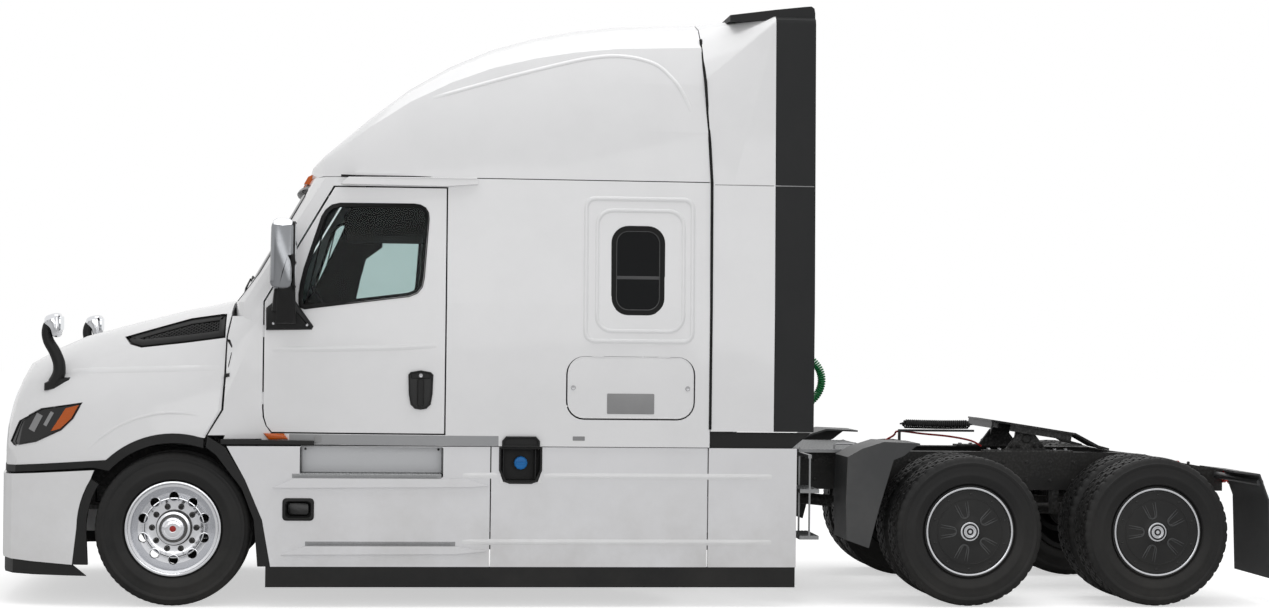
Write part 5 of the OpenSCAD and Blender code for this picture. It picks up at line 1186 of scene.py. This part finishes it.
# %% Hood mirrors
stalk = curve([(-806, 922, 1440), (-778, 925, 1500), (-776, 928, 1570), (-806, 930, 1650), (-844, 930, 1715),
    (-858, 930, 1775), (-846, 932, 1830), (-812, 934, 1858)], 5)
stalk_r = [44 - 14 * i / (len(stalk) - 1) for i in range(len(stalk))]
foot = layers([(-868, 1392), (-868, 1440), (-800, 1478), (-700, 1480), (-700, 1404)], "y",
    ((0, 892), (0, 945), (8, 957)))
for piece in add("hood_mirror_stalk", join(pipe(stalk, stalk_r, 14), foot), "hood", "black_plastic", pair=True,
        crease=50):
    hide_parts("hood_mirrors")
bowl = [(-866, 1836), (-850, 1884), (-768, 1901), (-752, 1832), (-762, 1752), (-806, 1748), (-826, 1800)]
smooth_bowl = [(p.x, p.y) for p in curve([(x, z, 0) for x, z in bowl + bowl[:1]], 4)][:-1]
head = stack([[(x + (y - 980) * 0.05, y, z) for x, z in inset(smooth_bowl, by)]
    for by, y in ((26, 892), (10, 897), (2, 912), (0, 975), (3, 1040), (12, 1060), (26, 1068))])
add("hood_mirror_head", head, "hood", "chrome", pair=True, crease=50)
add("hood_mirror_glass", stack([[(d, y, z) for y, z in rounded(905, 1055, 1792, 1880, 20)] for d in (-772, -750)]),
    "hood", "mirror_glass", "chrome", pair=True)
print("hood mirrors made")

# %% [markdown]
# ## Hood and fender creases
# The hood is pressed with a soft crest along its flank and an eyebrow over the wheel. Both
# are low ridges that follow the skin, and they catch the light as the real pressings do.

# %% Hood creases
crest = ridge([(-700, 1520), (-400, 1532), (0, 1546), (286, 1556)], 22, 4.5, ["hood_shell"])
BROW_R = 757  # the pressing's radius round the wheel's centre
eyebrow = ridge([(-BROW_R * cos(radians(a)), TYRE_R + BROW_R * sin(radians(a))) for a in range(42, 103, 4)], 12, 5.0,
    ["hood_shell"])
add("hood_creases", join(crest, eyebrow), "hood", "white_paint", pair=True, crease=60)
def follow(path, names, r, out, last=1180):
    """A thin round strip along a line on the side."""
    line = []
    for a, b in zip(path, path[1:]):
        n = max(1, ceil(dist(a, b) / 50))
        line += [tuple(Vector(a).lerp(Vector(b), k / n)) for k in range(n)]
    points = []
    for d, z in line + [path[-1]]:
        spot = touch(names, (d, OUTSIDE, z), INWARDS)
        last = spot[1] if spot else last
        points.append((d, last + out, z))
    return pipe(points, r, 8)
seam = follow([(306, 1500), (300, 1400), (291, 1283), (250, 1205), (196, 1116)], ["hood_shell"], 6, 0)
add("hood_rear_lip", seam, "hood", "fairing_white", "white_paint", pair=True)
# painted shadow: a dark sheet fills the recess behind the hood's rear edge; the strap under it is a real black strap
shade = stack(on_side(["cab_front"], [(326, 1530), (345, 1560), (362, 1640), (366, 1700), (350, 1740), (332, 1744)],
    [(0, -2), (0, 1.5), (3, 2)], 1100))
strap = stack(on_side(["cab_front"], [(322, 1492), (352, 1500), (352, 1524), (322, 1518)], [(0, -2), (0, 9), (3, 11)],
    1130))
add("cowl_strap_and_painted_shadow", join(shade, strap), ROOT, "lamp_black", "dark_rubber", pair=True)
COWL_TAPER = 0.209
def shoulder(d):
    return HALF_W - 26 - (d - 218) * COWL_TAPER
foot = [[(d, shoulder(d) + h, z) for d, z in [(318, 1094), (563, 1094), (563, 1122), (330, 1122)]] for h in (-26, -1)]
add("cowl_foot", stack(foot), ROOT, "white_paint", pair=True)
strip = [[(d, y, z) for d, z in inset([(300, 1058), (905, 1058), (905, 1086), (300, 1092)], by)]
    for by, y in ((0, 1168), (0, 1197), (3, 1201))]
add("sill_strip", stack(strip), ROOT, "black_plastic", pair=True)
print("creases and seals made")

# %% [markdown]
# ## Sill, side lamp and steps
# Under the doors the white body tucks in; its sill there is drawn grey as painted shade, with an amber side lamp at its
# front. The two treads are punched plates: each hole has a raised rim so that a boot grips it.

# %% Sill and side lamp
# a grey strip of painted shade where the white body tucks under the doors; the sill itself is white
sill = [[(d, side_of(["cab_side_walls", "cab_front"], d, 1110, 1150) + out, z)
    for out, z in ((-1, 1060), (1.5, 1062), (1.5, 1126), (-1, 1128))] for d in np.linspace(742, 2110, 14)]
add("sill_shade_strip", stack(sill, cap=False, closed=False), ROOT, "sill_grey", "white_paint", pair=True)
lamp_y = side_of("cab_side_walls", 700, 1110, 1140)
side_lamp = stack([[(d, lamp_y + (d - 650) * 0.09 + h, z)
    for d, z in inset([(574, 1130), (706, 1130), (736, 1092), (606, 1090)], by)]
    for by, h in ((0, -14), (0, 10), (4, 16), (9, 18))])
add("amber_side_lamp", side_lamp, ROOT, "amber_lens", "lamp_lens", pair=True)
tag = plate(rounded(905, 960, 1076, 1118, 4, 2), "y", side_of("cab_side_walls", 930, 1100) + 1,
    side_of("cab_side_walls", 930, 1100) + 4, 1)
add("sill_tag", tag, ROOT, "plate_grey", "polished_aluminium", pair=True)
print("side lamp at", round(lamp_y))

# %% Treads and kick plate
TREAD_FACE, HOLE_STEP = 1206.5, 26
def tread(d0, d1, z):
    """The nosing of a punched step: a folded lip with a row of raised holes, and three rows on top."""
    shapes = [stack([[(d, y, zz) for y, zz in ((1178, z + 26), (1203, z + 28), (1207, z + 24), (1207, z - 1),
        (1203, z - 4), (1178, z - 2))] for d in (d0, d1)])]
    for k in range(int((d1 - d0 - 30) / HOLE_STEP)):
        d = d0 + 24 + HOLE_STEP * k
        shapes.append(turned([(10, -1), (10, 2.6), (7, 3.6), (6, 0.2)], d, TREAD_FACE, z + 12, 10))
        for y in (1120, 1160, 1192):
            shapes.append(turned([(9, -1), (9, 3), (6.5, 4), (5.5, 0.5)], d + (13 if y == 1160 else 0), y, z + 28, 8,
                "z"))
    return join(*shapes)
for name, d0, d1, z in (("upper_tread", 766, 1737, 846), ("lower_tread", 856, 1834, 404)):
    deck = box((d0, d1), (1096, 1180), (z + 22, z + 28), 1.5)
    add(name, join(deck, tread(d0, d1, z)), ROOT, "tread_aluminium", pair=True)
    # the black discs in the holes are painted shade: the dark inside of each punched hole
    holes = [turned([(6.5, 0.3), (0, 0.3)], d0 + 24 + HOLE_STEP * k, TREAD_FACE, z + 12, 10)
        for k in range(int((d1 - d0 - 30) / HOLE_STEP))]
    add(f"{name}_holes", join(*holes), ROOT, "lamp_black", "black_plastic", pair=True)
kick = layers(rounded(824, 1742, 874, 1047, 5, 2), "y", ((0, 1071), (0, 1078), (1.5, 1080)))
add("kick_plate", kick, ROOT, "kick_plate_steel", "tread_aluminium", pair=True)
add("kick_plate_screws", join(*[turned([(8, 0), (8, 3), (4, 5), (0, 5)], d, 1080, 1028, 12) for d in (846, 1720)]),
    ROOT, "cast_steel", pair=True)
print("treads made")

# %% Side lamp recess and filler
near = stack([lay(rounded(706 + by, 911 - by, 565 + by, 712 - by, 26, 5), "y", y)
    for by, y in ((0, 1200), (0, 1209), (5, 1213), (18, 1213), (26, 1190), (30, 1150))], cap=False)
add("recess_rim", near, ROOT, "black_plastic", pair=True)
glass_face = stack([lay(rounded(738 + by, 879 - by, 597 + by, 680 - by, 14, 4), "y", y)
    for by, y in ((0, 1140), (0, 1158), (6, 1163))])
add("recess_lamp", glass_face, ROOT, "lamp_black", "black_plastic", pair=True)
FILLER_D, FILLER_Z = 2262, 948
surround = frame_plate([(2116, 900), (2150, 826), (2186, 812), (2331, 812), (2367, 826), (2401, 900), (2401, 1054),
    (2116, 1054)], 15, "y", 1190, 1212, 4)
hood_over = side_of("cab_side_walls", 2258, 1110, 1150)
over = frame_plate([(2134, 1052), (2134, 1096), (2160, 1126), (2357, 1126), (2383, 1096), (2383, 1052)], 14, "y",
    hood_over - 4, hood_over + 20, 4)
back = plate([(2140, 1052), (2140, 1094), (2164, 1120), (2353, 1120), (2377, 1094), (2377, 1052)], "y", hood_over + 1.6,
    hood_over + 4, 0.8)
corners = [plate([(a, 816), (a, 888), (b, 822), (c, 816)], "y", 1192, 1207, 1)
    for a, b, c in ((2120, 2146, 2182), (2397, 2371, 2335))]
add("filler_corners", join(*corners), ROOT, "white_paint", pair=True)
shelf = join(box((2134, 2383), (1096, 1190), (824, 836), 3), box((2140, 2152), (1096, 1186), (836, 1046), 3),
    box((2352, 2364), (1096, 1186), (836, 1046), 3))
add("filler_surround", join(surround, shelf, over, back), ROOT, "black_plastic", pair=True)
neck = turned([(36, 0), (38, 6), (34, 10), (34, 40)], FILLER_D, 1100, FILLER_Z, 28)
add("filler_neck", neck, ROOT, "lamp_black", "black_plastic", pair=True)
grips = join(*[box((FILLER_D + 41 * cos(a) - 3, FILLER_D + 41 * cos(a) + 3), (1143, 1168),
    (FILLER_Z + 41 * sin(a) - 3, FILLER_Z + 41 * sin(a) + 3), 1) for a in np.linspace(0, tau, 12, endpoint=False)])
cap = join(turned([(40, 138), (43, 142), (43, 166), (38, 172), (20, 175), (0, 175)], FILLER_D, 1000, FILLER_Z, 28),
    grips, box((2230, 2294), (1172, 1182), (941, 955), 3))
add("filler_cap", cap, ROOT, "cap_blue", "dark_rubber", pair=True)
print("filler at", FILLER_D)

# %% [markdown]
# ## Roof, rain ledge and windshield
# A dark visor stands over the windshield, with five amber marker lights above it. Rubber
# strips close the joints under the roof and in front of the extenders. Two wipers rest at
# the bottom of the glass.

# %% Visor and marker lights
def roof_from_front(y, z, names=("roof_fairing", "cab_front")):
    spot = touch(list(names), (300, y, z), (1, 0, 0))
    return spot[0] if spot else 860
VISOR_HALF = 930
visor_line = np.linspace(-VISOR_HALF, VISOR_HALF, 25)
def brow(y):
    return roof_from_front(y, 2796)
def bend(y):
    """How far round the roof's corner a place is: 0 at the middle, 1 at the visor's end."""
    return (abs(y) / VISOR_HALF) ** 3
visor = stack([[(brow(y) + 14, y, 2800), (brow(y) - 70 + 52 * bend(y), y, 2768),
                (brow(y) - 80 + 60 * bend(y), y, 2752), (brow(y) - 62 + 50 * bend(y), y, 2752),
                (brow(y) + 8, y, 2780)] for y in visor_line])
add("sun_visor", visor, ROOT, "lamp_black", "black_plastic", crease=45)
LAMPS, feet = (-740, -370, 0, 370, 740), []
MARKER_Z = 2835
for y in LAMPS:
    d, z = roof_from_front(y, MARKER_Z), MARKER_Z
    feet.append(solid([(d + a, y + b, z + c) for a in (-26, 40) for b in (-48, 48)
        for c in ((-34, -16) if a < 0 else (-20, 26))]))
shells = [solid([(p[0] + 1.5 * q[0], p[1] + 1.6 * q[1], p[2] + 1.6 * q[2])
    for p in [(roof_from_front(y, MARKER_Z), y, MARKER_Z)]
    for q in ((-34, -38, -28), (-34, 38, -28), (-16, -30, 4), (-16, 30, 4), (34, -26, 26), (34, 26, 26), (0, -40, -30),
    (0, 40, -30))]) for y in LAMPS]
add("marker_lights", join(*shells), ROOT, "amber_lens", "lamp_lens")
add("marker_feet", join(*feet), ROOT, "lamp_black", "black_plastic")
print("marker lights", len(shells))

# %% Roof and cab seams
gap = follow([(1060, 2823), (1700, 2823), (2600, 2823), (3500, 2823)], ["cab_side_walls", "roof_fairing"], 9, 7, 1180)
add("roof_joint_rubber", gap, ROOT, "dark_rubber", pair=True)
edge = []
for z, d in ((1180, 3515), (1990, 3515), (2400, 3515), (2820, 3515), (3100, 3498), (3500, 3474), (3800, 3456)):
    spot = touch(["side_extenders"], (d + 22, OUTSIDE, z), INWARDS)
    if spot:
        edge.append((d, spot[1] - 1, z))
add("extender_joint_rubber", pipe(edge, 10, 8), ROOT, "dark_rubber", pair=True)
ledge_y = side_of("cab_side_walls", 1500, 2795)
lip = pipe([(1062, ledge_y - 34, 2776), (1110, ledge_y - 6, 2812), (1500, ledge_y + 1, 2816),
    (1950, ledge_y + 1, 2819)], 5, 8)
add("rain_ledge_lip", lip, ROOT, "white_paint", pair=True)
print("rain ledge at", round(ledge_y))

# %% Wipers and windshield rubber
def on_glass(y, z, out=0.0):
    spot = touch(["cab_glass", "cab_front"], (200, y, z), (1, 0, 0))
    return ((spot[0] if spot else 600) - out, y, z)
SCREEN = [(0, 2010), (890, 2010), (985, 2050), (1030, 2190), (980, 2690), (920, 2735), (0, 2750)]
screen = refine([(y, z) for y, z in SCREEN] + [(-y, z) for y, z in reversed(SCREEN[1:-1])], 90)
rubber_rings = [[on_glass(y, z, out) for y, z in inset(screen, by)]
    for by, out in ((-12, -4), (-11, 5), (2, 7), (14, 5), (16, -8))]
add("windshield_rubber", stack(rubber_rings, cap=False), ROOT, "dark_rubber", crease=50)
add("windshield_divider", stack([[on_glass(y, z, o) for y, o in ((-8, 0), (-6, 6), (6, 6), (8, 0))]
    for z in np.linspace(2026, 2736, 9)]), ROOT, "dark_rubber")
arms = []
for y0, y1 in ((-820, -150), (110, 780)):
    pivot, tip = on_glass(y0, 2040, 26), on_glass(y1 - 150, 2150, 22)
    arms.append(pipe([pivot, tuple(Vector(pivot).lerp(Vector(tip), 0.5) + Vector((-10, 0, 0))), tip], [11, 8, 6], 8))
    arms.append(turned([(20, -14), (20, 6), (14, 12), (0, 12)], pivot[0], pivot[1], pivot[2], 16, "d"))
    arms.append(pipe([on_glass(y, 2090 + (y - y0) * 0.11, 10) for y in np.linspace(y0 + 90, y1, 9)], 7, 6))
add("wipers", join(*arms), ROOT, "lamp_black", "black_plastic")
print("wiper parts", len(arms))

# %% [markdown]
# ## Behind the sleeper
# On the back wall are the sockets where the trailer's power cord is parked, two glad-hand
# couplings and a work lamp. The post and the hose bar are in the CAD.

# %% Back wall fittings
back_d = SLEEPER_BACK
plugs = []
for z in (1700, 1380):
    plugs.append(turned([(50, 44), (54, 48), (54, 62), (46, 66), (24, 68), (22, 96), (14, 102), (9, 108), (6.5, 108)],
        back_d, 600, z, 28, "d"))
    plugs.append(box((back_d + 8, back_d + 50), (588, 612), (z + 44, z + 58), 3))
add("cable_plugs", join(*plugs), ROOT, "lamp_black", "black_plastic")
for y, tone in ((300, "hose_red"), (400, "cap_blue")):
    shape = join(turned([(30, 40), (34, 44), (34, 66), (28, 74), (12, 76), (10, 84), (0, 84)], back_d, y, 1655, 24,
        "d"), box((back_d + 60, back_d + 76), (y - 14, y + 14), (1600, 1640), 4))
    add("air_coupling_" + ("emergency" if y == 300 else "service"), shape, ROOT, tone, "dark_rubber")
lamp_box = box((back_d + 2, back_d + 56), (-75, 75), (2560, 2640), 10)
add("work_lamp_body", lamp_box, ROOT, "lamp_black", "black_plastic")
add("work_lamp_glass", box((back_d + 54, back_d + 62), (-64, 64), (2570, 2630), 5), ROOT, "clear_lens", "lamp_lens")
bolts = [turned([(9, -1), (9, 5), (6, 7), (0, 7)], back_d, y, z, 10, "d") for y in (-1060, -700, 700, 1060)
    for z in (1260, 1760, 2260, 2740)]
add("back_wall_bolts", join(*bolts), ROOT, "brushed_steel", "polished_aluminium")
ribs = join(*[box((back_d - 4, back_d + 12), (-1040, 1040), (z - 24, z + 24), 8) for z in (1900, 2150, 2400)])
add("back_wall_ribs", ribs, ROOT, "white_paint")
print("back wall fittings made")

# %% [markdown]
# ## Deck, ladder and fifth wheel
# The deck plate is rolled with small diamonds so that boots grip. The fifth wheel is a greased
# casting: it gets its jaw lining, pivot caps, release handle and the bolts of its brackets.

# %% Deck plate and ladder rungs
low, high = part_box("chassis_frame")
TAIL = round((FRONT_AXLE - low[0]) * 1000)
DECK_D, DECK_Z = 4246, 1022
diamonds = []
for i in range(19):
    for j in range(40):
        d, y, turn = DECK_D + i * 31.5, -632 + j * 32.4, 1 if (i + j) % 2 else -1
        a, b = Vector((9, 9 * turn, 0)), Vector((-2.6 * turn, 2.6, 0))
        mid = Vector((d, y, DECK_Z))
        corners = [mid + a, mid + b, mid - a, mid - b]
        diamonds.append((corners + [mid + a * 0.55 + Vector((0, 0, 2)), mid - a * 0.55 + Vector((0, 0, 2))],
            [[0, 1, 5, 4], [1, 2, 5], [2, 3, 4, 5], [3, 0, 4]]))
add("deck_diamonds", join(*diamonds), ROOT, "tread_aluminium")
handle = pipe(curve([(4500, 560, 1020), (4500, 560, 1045), (4520, 560, 1056), (4620, 560, 1056), (4640, 560, 1045),
    (4640, 560, 1020)], 3), 7, 8)
add("deck_handle", join(handle, *[turned([(9, 0), (9, 5), (5, 8), (0, 8)], d, y, 1021, 10, "z") for d in (4250, 4820)
    for y in (-600, -200, 200, 600)]), ROOT, "brushed_steel", "polished_aluminium")
rungs = join(*[turned([(10, 0), (10, 3), (7, 4), (6, 1)], 4182 + 24 * k, 670 + 30 * m, z + 26, 8, "z")
    for z in (430, 745) for k in range(5) for m in range(11)])
add("rung_grips", rungs, ROOT, "tread_aluminium", pair=True)
air_line = curve([(4900, 200, 1040), (5000, 230, 1100), (5030, 262, 1135), (5200, 270, 1118), (5400, 272, 1100),
    (5560, 268, 1070), (5640, 250, 1030)], 4)
add("red_air_line", pipe(air_line, 7, 8), ROOT, "hose_red", "dark_rubber")
add("hose_tag", box((4916, 5008), (150, 196), (1023, 1052), 4), ROOT, "tag_yellow", "dark_rubber")
print("diamonds", len(diamonds), "tail", TAIL)

# %% Fifth wheel details
PIVOT = JOINTS["fifth_wheel_tilt"]["pos_m"]
pivot_d, pivot_z = (FRONT_AXLE - PIVOT[0]) * 1000, PIVOT[2] * 1000
tilt = radians(8.4)
def on_plate(shape):
    """Lay a shape given round the pivot onto the plate, which rests tilted back."""
    return [Vector((pivot_d - p[0] * cos(tilt) + p[2] * sin(tilt), p[1], pivot_z + p[0] * sin(tilt) + p[2] * cos(tilt)))
        for p in shape[0]], shape[1]
jaw = on_plate(turned([(25.5, 62), (25.5, 94.6), (34, 96), (46, 96), (50, 94)], 0, 0, 0, 40, "z"))
grooves = on_plate(join(*[turned([(r - 3, 94), (r, 96.4), (r + 3, 94)], 0, 0, 0, 64, "z") for r in (120, 200, 280)]))
add("fifth_wheel_jaw", jaw, "fifth_wheel", "cast_steel")
add("fifth_wheel_grease_ridges", grooves, "fifth_wheel", "plate_grease", "cast_steel")
lever = on_plate(join(pipe([(40, -120, 62), (60, -300, 58), (62, -452, 56)], 9, 8),
    pipe([(62, -452, 56), (44, -458, 52), (28, -452, 50)], 8, 8)))
add("release_handle", lever, "fifth_wheel", "brushed_steel", "cast_steel")
caps = join(*[turned([(34, 0), (34, 8), (26, 14), (0, 14)], pivot_d, 353, pivot_z, 24),
    *[nut(pivot_d + dx, 362, 1040, 13, 14) for dx in (-110, -60, 60, 110)]])
add("pivot_caps", caps, ROOT, "cast_steel", pair=True)
plate_bolts = join(*[turned([(15, -1), (15, 10), (11, 13), (0, 13)], pivot_d + dx, 372, 1011, 6, "z")
    for dx in (-280, -200, 200, 280)])
add("slide_bolts", plate_bolts, ROOT, "brushed_steel", "cast_steel", pair=True)
print("fifth wheel pivot", round(pivot_d), round(pivot_z))

# %% [markdown]
# ## Springs, brakes and frame bolts
# Each drive axle rides on rubber air springs with a waist, has shock absorbers, and carries
# two round brake chambers. Frame bolts finish the chassis.

# %% Running gear
def bellows(d, y, z0, z1):
    h = z1 - z0
    return turned([(62, 0), (88, 4), (104, h * 0.22), (106, h * 0.32), (96, h * 0.46), (92, h * 0.5), (96, h * 0.54),
        (106, h * 0.68), (104, h * 0.8), (88, h - 6), (70, h)], d, y, z0, 32, "z")
gear, springs = [], []
for d in DRIVE:
    springs.append(bellows(d + 296, 372, 622, 742))
    gear += [turned([(0, -62), (60, -60), (74, -40), (80, -8), (84, 0), (80, 8), (74, 40), (50, 62), (0, 64)], d - 168,
        610, 640, 24, "d"), turned([(30, 0), (34, 6), (34, 150), (26, 156), (26, 190)], d - 250, 300, 600, 20, "z"),
        join(*[nut(d + 36 * cos(a), 512, 506 + 36 * sin(a), 9, 10) for a in np.linspace(0, tau, 6, endpoint=False)])]
add("air_springs", join(*springs), ROOT, "dark_rubber", pair=True)
add("brake_chambers", join(*gear), ROOT, "frame_black", pair=True)
bolts = [turned([(12, -1), (12, 8), (8, 11), (0, 11)], d, 428, z, 6) for d in range(-880, TAIL - 200, 170)
    for z in (800, 930)]
add("frame_bolts", join(*[(([Vector((p[0], p[1] + 1, p[2])) for p in s[0]]), s[1]) for s in bolts]), ROOT, "cast_steel",
    pair=True)
flaps = join(*[turned([(14, 0), (14, 5), (9, 9), (0, 9)], TAIL + 9, y, 690, 10, "d")
    for y in (660, 800, 940, 1080, 1170)])
lights = join(*[turned([(52, 0), (52, 20), (40, 27), (0, 29)], TAIL - 6, y, 842, 28, "d") for y in (440, 560)])
add("tail_lights", lights, ROOT, "red_lens", "lamp_lens", pair=True)
add("flap_bolts", flaps, ROOT, "brushed_steel", "cast_steel", pair=True)
print("bolts", len(bolts))

# %% [markdown]
# ## Inside the cab
# Two air seats and the bunk show through the glass. Their cushions start as plain lofted
# forms a little too small; a short cloth simulation with air pressure inside puffs them up,
# which pulls the sides in between the corners as real foam and cover do. The cap on how far
# a point may move keeps them inside their room. One seat is simulated, and copied across.

# %% Puff up a cushion
def settle(obj):
    """Replace an object's mesh with what its modifiers make of it."""
    bpy.context.view_layer.update()
    made = bpy.data.meshes.new_from_object(obj.evaluated_get(bpy.context.evaluated_depsgraph_get()))
    obj.modifiers.clear()
    obj.data = made
def puff(name, shape, voxel, cap, finish_name):
    mesh = bpy.data.meshes.new(name)
    mesh.from_pydata([at(*p) for p in shape[0]], [], shape[1])
    obj = bpy.data.objects.new(name, mesh)
    scene.collection.objects.link(obj)
    remesh = obj.modifiers.new("remesh", "REMESH")
    remesh.mode, remesh.voxel_size = "VOXEL", voxel
    settle(obj)
    start = np.array([v.co for v in obj.data.vertices])
    cloth_mod = obj.modifiers.new("air", "CLOTH")
    cloth_mod.settings.use_pressure, cloth_mod.settings.uniform_pressure_force = True, 4.0
    cloth_mod.settings.effector_weights.gravity = 0
    cloth_mod.point_cache.frame_start, cloth_mod.point_cache.frame_end = 1, 20
    for step in range(1, 21):
        scene.frame_set(step)
    settle(obj)
    move = np.array([v.co for v in obj.data.vertices]) - start
    far = np.linalg.norm(move, axis=1, keepdims=True)
    obj.data.vertices.foreach_set("co", (start + move * np.minimum(1, cap / np.maximum(far, 1e-9))).ravel())
    scene.frame_set(1)
    obj.modifiers.new("smooth", "SUBSURF").levels = 1
    settle(obj)
    obj.data.materials.clear()
    obj.data.materials.append(FINISH[finish_name])
    obj.data.shade_smooth()
    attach(obj, ROOT)
    return obj
def twin(obj, name):
    """The same piece on the other side of the truck."""
    copy = bpy.data.objects.new(name, obj.data.copy())
    scene.collection.objects.link(copy)
    copy.data.transform(Matrix.Scale(-1, 4, (0, 1, 0)))
    copy.data.flip_normals()
    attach(copy, ROOT)
    return copy
SEAT_Y = 520
cushion = stack([[(d, y, z) for d, y in rounded(1160 + by, 1668 - by, SEAT_Y - 228 + by, SEAT_Y + 228 - by, 60)]
    for by, z in ((26, 1504), (0, 1530), (0, 1590), (30, 1616))])
def back_ring(z, half, depth):
    lean = 1612 + (z - 1640) * 0.19 - (z < 1720) * 10
    return [(d, y, z) for d, y in rounded(lean - depth / 2, lean + depth / 2, SEAT_Y - half, SEAT_Y + half,
        depth / 2.4)]
backrest = stack([back_ring(z, half, depth)
    for z, half, depth in ((1650, 190, 90), (1690, 220, 120), (1900, 222, 120), (2080, 205, 104), (2150, 150, 90),
    (2290, 134, 84), (2325, 110, 56))])
driver_seat = puff("driver_seat_cushion", cushion, 0.014, 0.022, "seat_cloth")
driver_back = puff("driver_seat_back", backrest, 0.014, 0.022, "seat_cloth")
twin(driver_seat, "passenger_seat_cushion")
twin(driver_back, "passenger_seat_back")
base = join(stack([[(d, y, z) for d, y in rounded(1240 + by, 1570 - by, SEAT_Y - 180 + by, SEAT_Y + 180 - by, 30)]
    for by, z in ((0, 1162), (0, 1190), (26, 1200), (20, 1260), (34, 1275), (24, 1340), (36, 1355), (20, 1430),
    (0, 1470), (0, 1500))]), box((1180, 1650), (SEAT_Y - 200, SEAT_Y + 200), (1490, 1512), 6),
    *[box((1480, 1660), (SEAT_Y + s * 262 - 18, SEAT_Y + s * 262 + 18), (1760, 1796), 12) for s in (-1, 1)])
for piece in add("seat_bases", base, ROOT, "interior_dark", "interior_grey", pair=True):
    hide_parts("seats")
welts = [pipe([(p[0], p[1], 1606) for p in rounded(1162, 1666, SEAT_Y - 226, SEAT_Y + 226, 60)] + [(1666,
    SEAT_Y + 226 - 60, 1606)], 5, 6)]
add("seat_welts", join(*welts), ROOT, "interior_grey", "seat_cloth", pair=True)
print("seat cushion corners", len(driver_seat.data.vertices))

# %% Bunk, dashboard and door linings
mattress = stack([[(d, y, z) for d, y in rounded(2545 + by, 3420 - by, -1105 + by, 1105 - by, 70)]
    for by, z in ((24, 1806), (0, 1830), (0, 1896), (30, 1922))])
puff("bunk_mattress", mattress, 0.03, 0.022, "mattress_cloth")
puff("bunk_pillow", stack([[(d, y, z) for d, y in rounded(2640 + by, 3060 - by, 700 + by, 1060 - by, 70)]
    for by, z in ((60, 1938), (10, 1956), (10, 1980), (70, 2005))]), 0.016, 0.024, "mattress_cloth")
shelf = stack([[(d, y, z) for d, y in rounded(2514, 3450, -1115, 1115, 20)] for z in (1762, 1790)])
for piece in add("bunk_shelf", shelf, ROOT, "interior_grey"):
    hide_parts("bunk")
dials = join(*[turned([(r, 0), (r, -8), (r - 5, -10), (r - 7, -4), (0, -4)], 770, y, 1800, 28, "d")
    for y, r in ((420, 34), (520, 48), (620, 48), (700, 34))], box((772, 786), (-160, 200), (1690, 1830), 5))
add("dashboard_dials", ([Vector((1545 - p[0] + 16, p[1], p[2])) for p in dials[0]], dials[1]), ROOT, "lamp_black",
    "interior_grey")
# a real roof lining, made near-black partly as painted shade: the cab's inside lies in shade behind the glass
low = [(1100, 2746), (1060, 2620), (960, 2500), (880, 2470), (-880, 2470), (-960, 2500), (-1060, 2620), (-1100, 2746)]
roof_lining = stack([[(d, y, min(z, top)) for y, z in low] + [(d, y, min(z, top) + 24) for y, z in low[::-1]]
    for d, top in ((1080, 2540), (1230, 2746), (1700, 2746), (2350, 2746))])
add("roof_lining", roof_lining, ROOT, "interior_dark", "interior_grey")
# a real trim round the far window, also near-black partly as painted shade of the cab's inside
trim = refine([(720, 2000), (1126, 2000), (1170, 2217), (1208, 2355), (1330, 2445), (1340, 2640), (1060, 2640),
    (985, 2470), (812, 2102)], 60)
add("passenger_pillar_trim", layers(trim, "y", ((8, -1012), (0, -1024), (0, -1050))), ROOT, "interior_dark",
    "interior_grey")
lining = stack([[(d, 1088, z) for d, z in rounded(640 + by, 1700 - by, 1200 + by, 1920 - by, 40)]
    for by in (0, 0)][:1] + [[(d, 1070, z) for d, z in rounded(646, 1694, 1206, 1914, 40)]])
add("door_lining", join(lining, box((900, 1560), (1020, 1075), (1560, 1610), 14)), "left_door", "interior_dark",
    "interior_grey", pair=True)
print("cab inside done")
